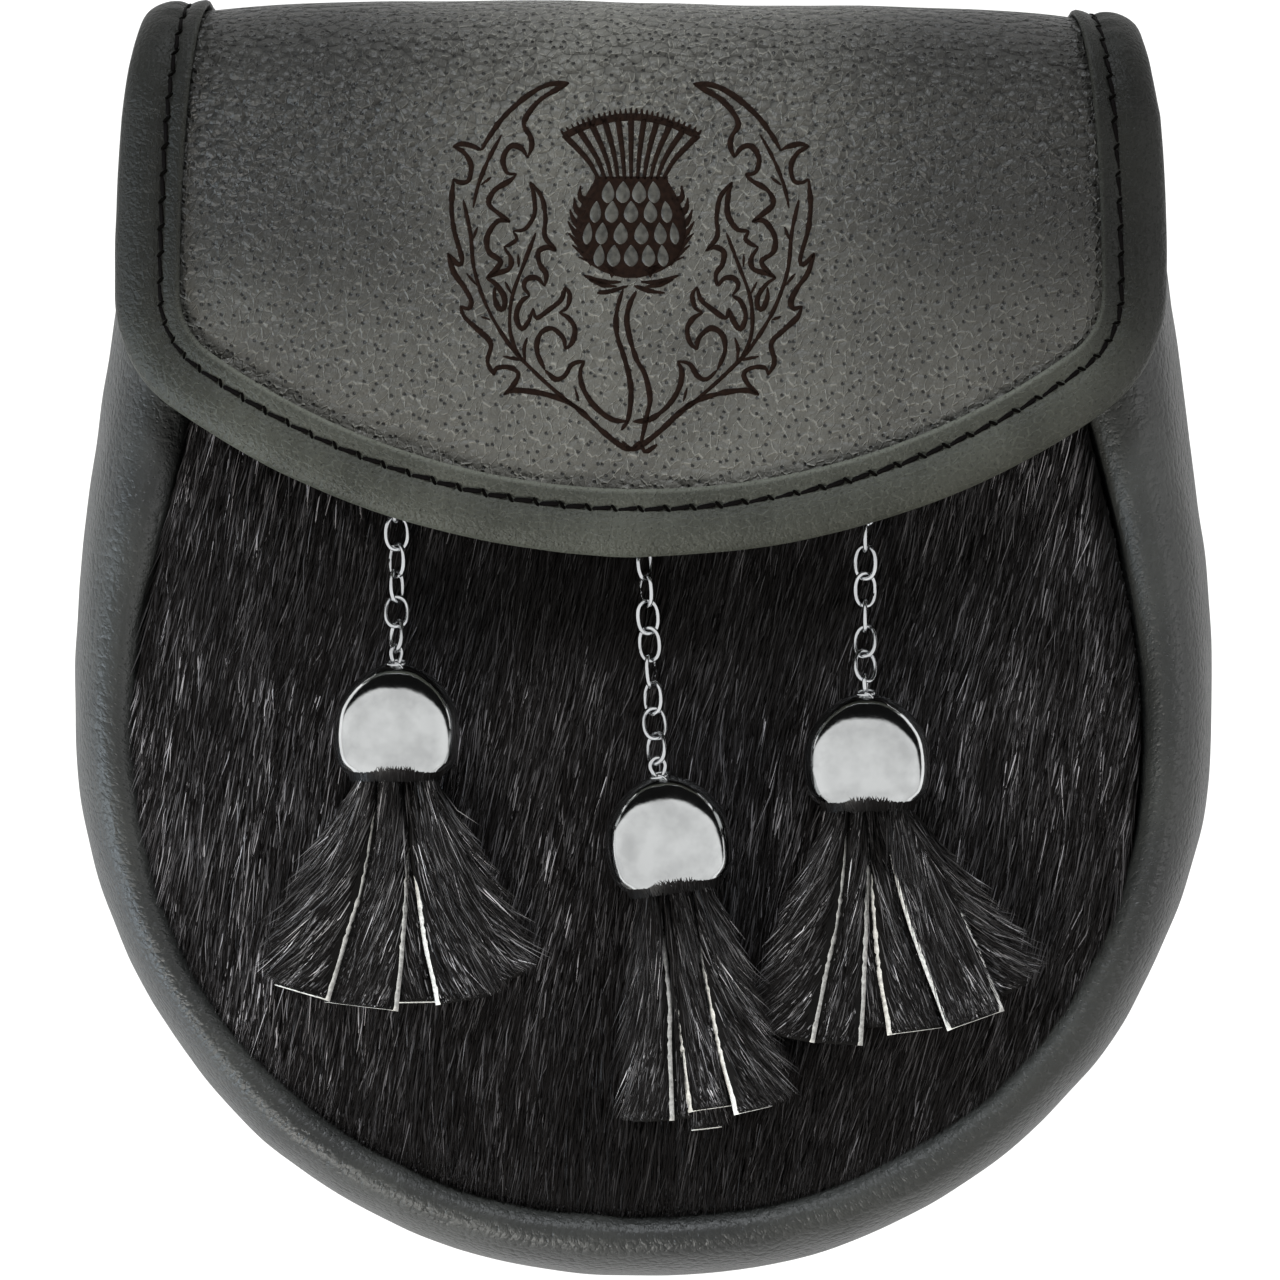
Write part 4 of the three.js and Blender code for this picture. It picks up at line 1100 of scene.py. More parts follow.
def front_fur_shape(count, long, wide, lift, bright, seed):
    """Hairs that lie down the front and a little to the left, combed nearly straight, trimmed at the seam.

    A hair's shade is painted: the light that reaches its place, times broad patches, fine streaks down the
    fur and a share of its own that leaves most hairs dark. The few pale hairs are a painted highlight for the
    fur's glints.
    """
    rng = np.random.default_rng(seed)
    at = scattered_on_front(count, rng)
    x, y = at.T
    net_x, net_y = x + FUR_NET, y + FUR_NET
    lean = np.radians(11 + 3 * smooth(x / 60) + 5 * value_noise(net_x, net_y, 24, 41))
    locks = 3 * value_noise(net_x, y * 0.4 + FUR_NET, 4, 42)
    lean = lean + np.radians(locks + rng.normal(0, 2.5, count))
    length = long * rng.uniform(*HAIR_LENGTHS, count)
    bend = rng.normal(0, 0.1, count)
    way = np.stack([-np.sin(lean), -np.cos(lean)], -1)
    way_on = np.stack([-np.sin(lean + bend), -np.cos(lean + bend)], -1)
    seam_limit = rng.uniform(*SEAM_TRIM, count)
    for _ in range(4):
        over = rim_excess(*(at + way * length[:, None]).T) - seam_limit
        length = np.maximum(length - 1.2 * np.maximum(over, 0), SHORTEST_HAIR)
    half_at = at + way * (HAIR_MIDDLE * length)[:, None]
    tip_at = half_at + way_on * ((1 - HAIR_MIDDLE) * length)[:, None]
    raised = lift * rng.uniform(*HAIR_HEIGHTS, (2, count)) * (1 + 0.4 * value_noise(net_x, net_y, 8, 43))
    raised[1] *= rng.uniform(0.2, 1.1, count)
    places = [(at, -0.25 + 0 * length), (half_at, raised[0]), (tip_at, raised[1])]
    root, middle, tip = (np.column_stack([p, fur_height(*p.T) + rise]) for p, rise in places)
    roll = rng.normal(0, HAIR_ROLL, count)
    side = np.column_stack([-way[:, 1] * np.cos(roll), way[:, 0] * np.cos(roll), np.sin(roll)])
    across, along = turned(half_at, -FUR_LEAN).T + FUR_NET
    streak = 0.5 + 0.5 * value_noise(across, along * 0.05, 0.6, 45)
    # Painted light and shade: lighter to the sides, darker under the flap's edge and towards the lower left
    under_flap = np.exp(-(((y - 12) / 16) ** 2))
    low_left = smooth((-25 - y + 0.35 * x) / 40)
    open_to_light = (0.55 + 0.5 * smooth(np.abs(x) / 75) - 0.5 * under_flap) * (1 - 0.6 * low_left)
    patch = 1 + 0.2 * value_noise(net_x, net_y, 14, 44)
    own = 0.02 + 1.2 * rng.uniform(0, 1, count) ** 4
    # Pale hairs from the streaks and their own share are a painted highlight for glints
    shade = bright * open_to_light * patch * (0.2 + 1.2 * streak**2) * own
    half_side = -side * (wide / 2 * rng.uniform(*HAIR_WIDTHS, (count, 1)))
    return hairs_shape(root, middle, tip, half_side, shade)


def strip_heading(row):
    """The turn of a strip's cut end from straight down, to the right."""
    return np.arctan2(row.end_x - row.root_x, STRIP_ROOT_Y - row.end_y)


def strip_line(row, share):
    """The middle of a strip of hide at shares of its length, the turn of its section and half its width."""
    table = np.array(STRIP_SECTIONS)
    places = np.interp(share, table[:, 0], np.arange(len(table)))
    along, spread, widen, fall = spline(table, places).T
    root_z = STRIP_ROOT_SPREAD * (row.end_z - STRIP_END_MIDDLE_Z)
    x, y = mix(row.root_x, row.end_x, spread), mix(STRIP_ROOT_Y, row.end_y, along)
    line = np.stack([x, y, mix(root_z, row.end_z, fall)], -1)
    return line, strip_heading(row) * widen, mix(STRIP_ROOT_WIDTH, row.width, widen) / 2


def raw_edge(cut, pale_from, share):
    """How much of a strip's raw edge shows at a share of its length: all of it from pale_from on."""
    ragged = 1 + 0.3 * value_noise(share * 40 + 20, share + 5, 0.8, 53)
    return cut * ragged * smooth((share - pale_from) / RAW_START)


def strips_shape(tassel, cut):
    """Slabs of hide: each strip's line widened to a section whose upper face is narrower by its raw edges."""
    shapes, edges = [], []
    rows, columns = STRIP_GRID
    place = np.linspace(-1, 1, columns)
    crown = STRIP_CROWN * (1 - place**2)
    for k, row in enumerate(tassel.strips):

        def skin(shown, rise):
            share = np.linspace(0, 1 + shown * row.pale_foot / row.end_y, rows)
            line, turn, half = strip_line(row, share)
            half = half + 0.3 * value_noise(share * 38 + 9 * k, share * 0 + 3 * k, 7, 51)
            raw_left = raw_edge(cut, row.pale_left, share)[:, None]
            raw_right = raw_edge(cut, row.pale_right, share)[:, None]
            across = np.stack([np.cos(turn), np.sin(turn), 0 * turn], -1)
            out = mix(shown * raw_left - half[:, None], half[:, None] - shown * raw_right, (1 + place) / 2)
            turned_up = (1 - shown) * RAW_LIFT * (raw_left * (place == -1) + raw_right * (place == 1))
            up = np.array([0, 0, 1]) * (rise + crown + turned_up)[..., None]
            return line[:, None] + across[:, None] * out[..., None] + up

        points, faces = closed_wall(skin(1, STRIP_THICK / 2), skin(0, -STRIP_THICK / 2))
        station, column = np.divmod(np.arange((rows - 1) * 2 * columns), 2 * columns)
        share = (station + 0.5) / rows
        right_shows = (column == columns - 1) & (share > row.pale_right)
        left_shows = (column == 2 * columns - 1) & (share > row.pale_left)
        pale = np.zeros(len(faces), int)
        pale[: len(station)] = right_shows | left_shows
        pale[1 - columns :] = row.pale_foot > 0
        shapes.append((on_tassel(tassel, points), faces))
        edges.append(pale)
    return joined(shapes), np.concatenate(edges)


def hair_limit(strips, k, share, long):
    """How far from a strip's middle its hair may reach: to a higher neighbour's edge, or past its own."""
    row = strips[k]
    side = 1 if row.sweep > 0 else -1
    line, turn, half = strip_line(row, share)
    if not 0 <= k + side < len(strips) or strips[k + side].end_z < row.end_z:
        return half + long
    next_line, next_turn, next_half = strip_line(strips[k + side], share)
    next_across = np.stack([np.cos(next_turn), np.sin(next_turn)], -1)
    edge = next_line[:, :2] - line[:, :2] - side * next_across * next_half[:, None]
    return side * (edge[:, 0] * np.cos(turn) + edge[:, 1] * np.sin(turn)) - 0.2


def mouth_hairs(count, wide, rng):
    """Short dark hairs that stand up round the front of a cap's mouth, over its outside."""
    angle = rng.uniform(-MOUTH_HALF_TURN, MOUTH_HALF_TURN, count)
    rise = rng.uniform(*MOUTH_HAIR_RISES, count)
    (_, mouth), (next_rise, next_radius) = CAP_PROFILE[:2]
    flare = (next_radius - mouth) / next_rise

    def on_cap(up, turn):
        radius = mouth + flare * np.maximum(up, 0) + MOUTH_HAIR_CLEAR
        deep = CAP_DEPTH_SHARE * radius * np.cos(turn) ** CAP_SQUARENESS
        return np.stack([radius * np.sin(turn), up - CAP_HEIGHT / 2, deep], -1)

    drift = rng.normal(0, 0.05, count)
    places = ((-MOUTH_HAIR_SINK * rise, 0), (0.4 * rise, drift), (rise, 2 * drift))
    points = [on_cap(up, angle + turn) for up, turn in places]
    side = np.stack([np.cos(angle), 0 * angle, -np.sin(angle)], -1) * (0.7 * wide)
    return (*points, side, rng.uniform(*MOUTH_HAIR_SHADES, count))


def tassel_fur_shape(tassel, count, long, wide, cut, seed):
    """Hairs on the upper face of each strip that sweep away from one cut edge and end at the cut foot."""
    rng = np.random.default_rng(seed)
    area = np.array([row.width * row.fullness for row in tassel.strips])
    parts = [mouth_hairs(MOUTH_HAIRS, wide, rng)]
    for k, (row, each) in enumerate(zip(tassel.strips, (count * area / area.sum()).astype(int))):
        share = rng.uniform(*TASSEL_ROOTS, each)
        place = rng.uniform(-1, 1, each)
        line, turn, half = strip_line(row, share)
        across = np.stack([np.cos(turn), np.sin(turn), 0 * turn], -1)
        left = BARE_EDGE * raw_edge(cut, row.pale_left, share) - half
        right = half - BARE_EDGE * raw_edge(cut, row.pale_right, share)
        lateral = mix(left, right, (1 + place) / 2)
        root = line + across * lateral[:, None]
        root[:, 2] += STRIP_THICK / 2 + STRIP_CROWN * (1 - place**2) - 0.2
        locks = value_noise(root[:, 0] * 1.4 + TASSEL_NET, root[:, 1] * 0.4 + TASSEL_NET, 2.5, seed)
        way = turn + np.radians(row.sweep * (0.6 + 0.6 * share) + 5 * locks + rng.normal(0, 4, each))
        way_on = way + np.radians(0.35 * row.sweep + rng.normal(0, 5, each))
        heading = strip_heading(row)
        axis = np.array([np.sin(heading), -np.cos(heading)])
        foot = np.array([row.end_x, row.end_y])
        to_foot = (foot - root[:, :2]) @ axis - row.pale_foot - rng.uniform(0, 0.5, each)
        length = long * rng.uniform(*TASSEL_HAIR_LENGTHS, each)
        length = np.minimum(length, np.maximum(to_foot, 0.3) / np.cos(way - heading))
        room = hair_limit(tassel.strips, k, share, long) - np.sign(row.sweep) * lateral
        sideways = np.maximum(np.abs(np.sin(way_on - turn)), 0.05)
        length = np.clip(length, 0.05, np.maximum(room / sideways, 0.05))
        ways = (np.stack([np.sin(angle), -np.cos(angle), 0 * angle], -1) for angle in (way, way_on))
        step, step_on = (one * length[:, None] for one in ways)
        up = np.array([0, 0, 1])
        middle = root + HAIR_MIDDLE * step + up * rng.uniform(0.2, 0.6, (each, 1))
        tip = middle + (1 - HAIR_MIDDLE) * step_on - up * rng.uniform(0.1, 0.7, (each, 1))
        roll = rng.normal(0, HAIR_ROLL, each)[:, None]
        side = np.stack([np.cos(way), np.sin(way), 0 * way], -1) * np.cos(roll) + up * np.sin(roll)
        combed = heading + np.radians(row.sweep)
        from_middle = root[:, 0] * np.cos(combed) + root[:, 1] * np.sin(combed)
        along = 0.1 * root[:, 1] + TASSEL_NET
        streak = 0.5 + 0.5 * value_noise(from_middle + TASSEL_NET, along, 0.55, seed + 10)
        # Pale hairs in streaks are a painted highlight for the glints along the locks
        shade = (0.1 + 1.7 * streak**2) * rng.uniform(0, 1, each) ** 5
        half_side = -side * (wide / 2 * rng.uniform(*HAIR_WIDTHS, (each, 1)))
        parts.append((root, middle, tip, half_side, shade))
    root, middle, tip, side, shade = (np.concatenate(kind) for kind in zip(*parts))
    root, middle, tip = (on_tassel(tassel, p) for p in (root, middle, tip))
    return hairs_shape(root, middle, tip, turned(side, np.radians(tassel.lean)), shade)


# Materials


def add_node(tree, kind, inputs=None, result=0, stops=(), **settings):
    """Adds a node with its settings, and gives back the output named by result.

    inputs gives each socket, by name or number, a value or the socket that it is linked from.
    stops are the places and colours of a colour ramp.
    """
    node = tree.nodes.new(f"ShaderNode{kind}")
    for name, value in settings.items():
        setattr(node, name, value)
    for name, value in (inputs or {}).items():
        if isinstance(value, bpy.types.NodeSocket):
            tree.links.new(value, node.inputs[name])
        else:
            node.inputs[name].default_value = value
    for k, (place, colour) in enumerate(stops):
        element = node.color_ramp.elements[k] if k < 2 else node.color_ramp.elements.new(1)
        element.position = place
        element.color = rgba(colour)
    return node.outputs[result] if node.outputs else None


def new_material(name):
    """A material with only an output, and its tree."""
    material = bpy.data.materials.new(name)
    material.use_nodes = True
    material.node_tree.nodes.clear()
    return material, material.node_tree


def finish_material(tree, inputs):
    """Links a Principled shader with these inputs to the output."""
    shader = add_node(tree, "BsdfPrincipled", inputs)
    add_node(tree, "OutputMaterial", {"Surface": shader})


def rgba(colour):
    return (*colour, 1)


def scaled(colour, share):
    """A colour made darker or lighter by a factor."""
    return tuple(share * part for part in colour)


def per_mm(size_mm):
    """A texture's scale for a pattern of this size, on coordinates in metres."""
    return 1 / (size_mm * MM)


BROAD_DYE = 22  # size in millimetres of the dye's soft clouds
FINE_GRAIN = 0.35  # size of the finest grain, drawn coarser than real so that it shows
FINE_RISE = 0.08
WEAR_AND_PAINTED_HIGHLIGHT = 2.4  # a rubbed wrinkle and a pale cut edge are this many times as light as the dye: wear, and a painted highlight on them
HOLLOW_PAINTED_SHADE = 0.1  # and a pore or a crease is painted this share of its dark tone, as painted shade in the hollow
ROUGHER = (-0.07, 0.09)  # how far the roughness changes with the clouds
CUT_EDGE_AND_HIGHLIGHT = (0.3, 0.8)  # a pale cut edge, with its painted highlight, ends between these distances


class Grain(NamedTuple):
    """A leather's grain, in millimetres and degrees, with pairs for the lower and upper part of its map."""

    pebble: float
    pebble_stretch: float
    pebble_rises: tuple
    # how far the creases between pebbles are darkened as painted shade, in the lower and upper part
    crease_shades: tuple
    uneven: float
    uneven_rise: float
    wrinkle: float
    wrinkle_stretch: float
    wrinkle_turn: float
    wrinkle_rise: float
    change: tuple  # where the upper part ends and the lower part starts
    pore: float
    pore_depth: float
    # how far the pores are darkened as painted shade
    pore_painted_shade: float
    # share of the wrinkles made lighter, by wear and a painted highlight
    worn: float
    cut_edge: float  # how pale the map's first edge is, where the leather was cut: a pale cut edge, and a painted highlight along it
    fade: tuple  # distances from the map's middle between which the tone darkens to the painted side shade
    # shares of the tone that the painted side shade leaves, for the lower and upper part
    side_tones: tuple
    side_shade_change: tuple  # where the upper painted side shade ends and the lower one starts
    roughness: float
    level: float


def leather(name, dark, light, grain):
    """Drum-dyed leather with its own grain: domed pebbles, short worn wrinkles and dark hair pores. Its pores
    and creases are darkened as painted shade, its wrinkles and cut edge lightened by wear and a painted
    highlight, and the sides of its map darkened as painted shade.
    """
    material, tree = new_material(name)
    node = partial(add_node, tree)
    flat, step = {"noise_dimensions": "2D"}, {"interpolation_type": "SMOOTHSTEP"}
    place = node("UVMap", uv_map="Surface")
    across, along = (node("SeparateXYZ", {0: place}, axis) for axis in "XY")
    edges = [edge * MM for edge in grain.change]
    upper = node("MapRange", {"Value": along, 1: edges[0], 2: edges[1], 3: 1, 4: 0}, **step)
    broad = node("TexNoise", {"Vector": place, "Scale": per_mm(BROAD_DYE), "Detail": 5}, **flat)
    uneven = node("TexNoise", {"Vector": place, "Scale": per_mm(grain.uneven), "Detail": 2}, **flat)
    fine = node("TexNoise", {"Vector": place, "Scale": per_mm(FINE_GRAIN), "Detail": 2}, **flat)

    swirl = {"Vector": place, "Scale": per_mm(1.6 * grain.pebble), "Detail": 1}
    swirl = node("TexNoise", swirl, "Color", **flat)
    bend = (0.6 * grain.pebble * MM,) * 3
    bent = node("VectorMath", {0: swirl, 1: bend, 2: place}, operation="MULTIPLY_ADD")
    drawn = node("Mapping", {"Vector": bent, "Scale": (grain.pebble_stretch, 1, 1)}, vector_type="TEXTURE")
    net = {"Vector": drawn, "Scale": per_mm(grain.pebble)}
    cell = node("TexVoronoi", net, voronoi_dimensions="2D")
    gap = node("TexVoronoi", net, voronoi_dimensions="2D", feature="DISTANCE_TO_EDGE")
    crease = node("MapRange", {"Value": gap, 1: 0.0, 2: 0.1, 3: 1, 4: 0}, **step)
    valley = node("Math", {0: cell, 1: 2.0}, operation="POWER")
    rise = node("MapRange", {"Value": upper, 3: -grain.pebble_rises[0], 4: -grain.pebble_rises[1]})
    sunk = node("Math", {0: valley, 1: rise}, operation="MULTIPLY")

    slant = {"Vector": bent, "Rotation": (0, 0, np.radians(grain.wrinkle_turn))}
    slant = node("Mapping", {**slant, "Scale": (grain.wrinkle_stretch, 1, 1)}, vector_type="TEXTURE")
    net = {"Vector": slant, "Scale": per_mm(grain.wrinkle)}
    from_line = node("TexVoronoi", net, voronoi_dimensions="2D", feature="DISTANCE_TO_EDGE")
    line = node("MapRange", {"Value": from_line, 1: 0.0, 2: 0.14, 3: 1, 4: 0}, **step)
    ticks = node("TexNoise", {"Vector": place, "Scale": per_mm(0.9 * grain.wrinkle), "Detail": 1}, **flat)
    ticks = node("MapRange", {"Value": ticks, 1: 0.36, 2: 0.56}, **step)
    wrinkle = node("Math", {0: line, 1: ticks}, operation="MULTIPLY")

    spot = {"Vector": place, "Scale": per_mm(grain.pore), "Randomness": 0.9}
    spot = node("TexVoronoi", spot, voronoi_dimensions="2D")
    pore = node("MapRange", {"Value": spot, 1: 0.15, 2: 0.06, 3: 0, 4: 1})
    height = node("Math", {0: fine, 1: FINE_RISE, 2: sunk}, operation="MULTIPLY_ADD")
    rises = (uneven, grain.uneven_rise), (wrinkle, grain.wrinkle_rise), (pore, -grain.pore_depth)
    for relief, rise in rises:
        height = node("Math", {0: relief, 1: rise, 2: height}, operation="MULTIPLY_ADD")
    normal = node("Bump", {"Height": height, "Strength": 1.0, "Distance": MM})

    tone = node("ValToRGB", {"Fac": broad}, stops=((0.35, dark), (0.68, light)))
    # Wrinkles and the cut edge are painted lighter: wear, and a painted highlight along the ridges and the
    # edge
    share = node("Math", {0: wrinkle, 1: grain.worn}, operation="MULTIPLY")
    start, end = (edge * MM for edge in CUT_EDGE_AND_HIGHLIGHT)
    cut = node("MapRange", {"Value": along, 1: start, 2: end, 3: grain.cut_edge, 4: 0})
    share = node("Math", {0: share, 1: cut}, operation="MAXIMUM")
    tone = node("Mix", {0: share, 6: tone, 7: rgba(scaled(light, WEAR_AND_PAINTED_HIGHLIGHT))}, 2, data_type="RGBA")
    # Painted shade: pores and the creases between pebbles darken towards the dark tone
    crease_painted_shade = node("MapRange", {"Value": upper, 3: grain.crease_shades[0], 4: grain.crease_shades[1]})
    crease_painted_shade = node("Math", {0: crease, 1: crease_painted_shade}, operation="MULTIPLY")
    share = node("Math", {0: pore, 1: grain.pore_painted_shade}, operation="MULTIPLY")
    share = node("Math", {0: share, 1: crease_painted_shade}, operation="MAXIMUM")
    tone = node("Mix", {0: share, 6: tone, 7: rgba(scaled(dark, HOLLOW_PAINTED_SHADE))}, 2, data_type="RGBA")
    # Painted shade: the tone darkens towards the sides of the map, down to the side shade tones
    from_middle = node("Math", {0: across}, operation="ABSOLUTE")
    start, end = (edge * MM for edge in grain.side_shade_change)
    low, high = grain.side_tones
    side_tone = node("MapRange", {"Value": along, 1: start, 2: end, 3: high, 4: low}, **step)
    start, end = (edge * MM for edge in grain.fade)
    fade = node("MapRange", {"Value": from_middle, 1: start, 2: end, 3: 1, 4: side_tone}, **step)
    tone = node("VectorMath", {0: tone, 1: fade}, operation="MULTIPLY")
    low, high = (grain.roughness + change for change in ROUGHER)
    rough = node("MapRange", {"Value": broad, 3: low, 4: high})
    finish = {"Base Color": tone, "Roughness": rough, "Specular IOR Level": grain.level, "Normal": normal}
    finish_material(tree, finish)
    return material


# Pigskin has open hair pores, short wrinkles and, over the fold, deep pebbles. Calf is smooth and fine.
PIGSKIN = Grain(
    pebble=1.4,
    pebble_stretch=1.6,
    pebble_rises=(0.4, 1.1),
    crease_shades=(0.12, 0.5),
    uneven=0.9,
    uneven_rise=0.26,
    wrinkle=1.15,
    wrinkle_stretch=1.9,
    wrinkle_turn=-68,
    wrinkle_rise=0.2,
    change=(FRONT_AT - 2, FRONT_AT + 22),
    pore=2.1,
    pore_depth=0.7,
    pore_painted_shade=0.95,
    worn=0.7,
    cut_edge=0,
    fade=(10, 52),
    side_tones=(0.88, 0.22),
    side_shade_change=(FRONT_AT + 14, FRONT_AT + 46),
    roughness=0.48,
    level=0.25,
)
CALF = Grain(
    pebble=0.9,
    pebble_stretch=1.2,
    pebble_rises=(0.1, 0.4),
    crease_shades=(0.1, 0.35),
    uneven=2.2,
    uneven_rise=0.14,
    wrinkle=2.2,
    wrinkle_stretch=1.6,
    wrinkle_turn=0,
    wrinkle_rise=0.04,
    change=(24, 40),
    pore=1.3,
    pore_depth=0.06,
    pore_painted_shade=0.3,
    worn=0.08,
    cut_edge=0,
    fade=(60, 140),
    side_tones=(1, 1),
    side_shade_change=(0, 1),
    roughness=0.48,
    level=0.3,
)
BOUND_CALF = CALF._replace(
    pebble=0.7,
    pebble_stretch=1.3,
    pebble_rises=(0.12, 0.12),
    crease_shades=(0.15, 0.15),
    uneven=0.6,
    uneven_rise=0.16,
    wrinkle=0.9,
    wrinkle_stretch=2.5,
    wrinkle_rise=0.06,
    change=(0, 1),
    pore_depth=0.08,
    worn=0.2,
    cut_edge=0.55,
    fade=(62, 105),
    side_tones=(0.15, 0.15),
    roughness=0.5,
    level=0.12,
)


def board_leather(name, colour):
    """Stiff leather board on the back: flat, with a faint fleck."""
    material, tree = new_material(name)
    place = add_node(tree, "TexCoord", result="Object")
    fleck = add_node(tree, "TexNoise", {"Vector": place, "Scale": per_mm(0.8), "Detail": 3})
    tone = add_node(tree, "ValToRGB", {"Fac": fleck}, stops=((0.3, scaled(colour, 0.7)), (0.7, colour)))
    normal = add_node(tree, "Bump", {"Height": fleck, "Strength": 0.3, "Distance": 0.1 * MM})
    finish_material(tree, {"Base Color": tone, "Roughness": 0.55, "Normal": normal})
    return material


class Matt(NamedTuple):
    """A dull, mottled finish: the mottle's size in millimetres, its darkest share and the shader's values."""

    mottle: float
    darkest: float
    roughness: float
    level: float


# Leather burned with a hot point is dry and dull, and bare leather between burned lines has the flap's dye.
# A needle's hole gets a black patch, painted shade for the hole; the skin under the fur is nearly black, and
# a raw edge of hide pale and fibrous.
SCORCHED = Matt(0.7, 0.45, 0.85, 0.05)
UNBURNED = Matt(0.9, 0.35, 0.5, 0.2)
HOLE_SHADE = Matt(0.3, 0.2, 0.95, 0.02)
SKIN = Matt(1.5, 0.4, 0.8, 0.1)
RAW_EDGE = Matt(0.6, 0.5, 0.85, 0.2)


def mottled(name, colour, finish):
    """A dull surface whose colour changes in small soft spots."""
    material, tree = new_material(name)
    place = add_node(tree, "TexCoord", result="Object")
    spots = add_node(tree, "TexNoise", {"Vector": place, "Scale": per_mm(finish.mottle), "Detail": 3})
    stops = ((0.32, scaled(colour, finish.darkest)), (0.68, colour))
    tone = add_node(tree, "ValToRGB", {"Fac": spots}, stops=stops)
    shader = {"Base Color": tone, "Roughness": finish.roughness, "Specular IOR Level": finish.level}
    finish_material(tree, shader)
    return material


def waxed_thread(name, colour):
    """Waxed thread: dull black, with fine twisted plies."""
    material, tree = new_material(name)
    place = add_node(tree, "TexCoord", result="Object")
    twist = {"Vector": place, "Scale": per_mm(0.5), "Distortion": 0.6}
    ply = add_node(tree, "TexWave", twist, "Fac", bands_direction="DIAGONAL")
    tone = add_node(tree, "ValToRGB", {"Fac": ply}, stops=((0.1, scaled(colour, 0.4)), (0.9, colour)))
    normal = add_node(tree, "Bump", {"Height": ply, "Strength": 0.5, "Distance": 0.08 * MM})
    finish = {"Base Color": tone, "Roughness": 0.7, "Specular IOR Level": 0.03, "Normal": normal}
    finish_material(tree, finish)
    return material


def glossy_hair(name, dark, light, level):
    """Short straight black fur: each hair has its own tone, whose pale end is a painted highlight for its
    glints, darker at the root, and a narrow shine.
    """
    material, tree = new_material(name)
    place = add_node(tree, "UVMap", uv_map="OFBake")
    strip, up = (add_node(tree, "SeparateXYZ", {0: place}, axis) for axis in "XY")
    middling = mix(np.array(dark), np.array(light), 0.4)
    tone = add_node(tree, "ValToRGB", {"Fac": strip}, stops=((0, dark), (0.7, middling), (1, light)))
    fade = add_node(tree, "ValToRGB", {"Fac": up}, stops=((0, (0.35,) * 3), (0.6, (1,) * 3)))
    tone = add_node(tree, "VectorMath", {0: tone, 1: fade}, operation="MULTIPLY")
    finish_material(tree, {"Base Color": tone, "Roughness": 0.38, "Specular IOR Level": level})
    return material


def bright_plate(name, colour, roughness):
    """Polished plated metal: a clear mirror, faintly uneven from spinning and wear."""
    material, tree = new_material(name)
    place = add_node(tree, "TexCoord", result="Object")
    dents = add_node(tree, "TexNoise", {"Vector": place, "Scale": per_mm(4), "Detail": 3})
    haze = add_node(tree, "TexNoise", {"Vector": place, "Scale": per_mm(1.1), "Detail": 3})
    rough = add_node(tree, "MapRange", {"Value": haze, 3: roughness * 0.5, 4: roughness * 1.6})
    tone = add_node(tree, "ValToRGB", {"Fac": dents}, stops=((0.35, scaled(colour, 0.8)), (0.65, colour)))
    normal = add_node(tree, "Bump", {"Height": dents, "Strength": 0.25, "Distance": 0.2 * MM})
    finish_material(tree, {"Base Color": tone, "Metallic": 1.0, "Roughness": rough, "Normal": normal})
    return material


def pale_paper(name, colour):
    """Plain matt studio paper under the pouch."""
    material, tree = new_material(name)
    finish_material(tree, {"Base Color": rgba(colour), "Roughness": 0.9, "Specular IOR Level": 0.1})
    return material


# Settings


def size_setting(name, description, size_mm):
    return bpy.props.FloatProperty(name=name, description=description, default=size_mm * MM, unit="LENGTH")


def count_setting(name, description, count):
    return bpy.props.IntProperty(name=name, description=description, default=count)


class SporranSizes(bpy.types.PropertyGroup):
    """Sizes that change how the pouch is dressed."""

    hair_length: size_setting("Fur length", "Mean length of a hair on the front", 13)
    hair_width: size_setting("Hair width", "Width of a hair, drawn coarser than real to show", 0.15)
    hair_lift: size_setting("Fur depth", "How high a hair stands off the hide", 1.1)
    hairs: count_setting("Hairs", "Hairs in each of the front's fur pieces", 46000)
    tassel_hair_length: size_setting("Tassel hair", "Mean length of a hair on a tassel's strips", 9)
    tassel_hairs: count_setting("Tassel hairs", "Hairs on each tassel", 13500)
    cut_edge: size_setting("Cut edge", "Width of the pale cut edge of a strip", 0.65)
    stitch_pitch: size_setting("Stitch pitch", "Distance from stitch to stitch", 4.2)
    stitch_length: size_setting("Stitch length", "Length of thread that shows", 3.2)
    thread: size_setting("Thread", "Width of the thread", 0.8)
    groove: size_setting("Stitch groove", "How deep the stitches pull into the binding", 0.5)
    burn_width: size_setting("Burned line", "Width of a line of the thistle", 0.8)


def colour_setting(name, description, hex_colour):
    return bpy.props.FloatVectorProperty(
        name=name, description=description, subtype="COLOR", size=3, min=0, max=1, default=linear(hex_colour)
    )


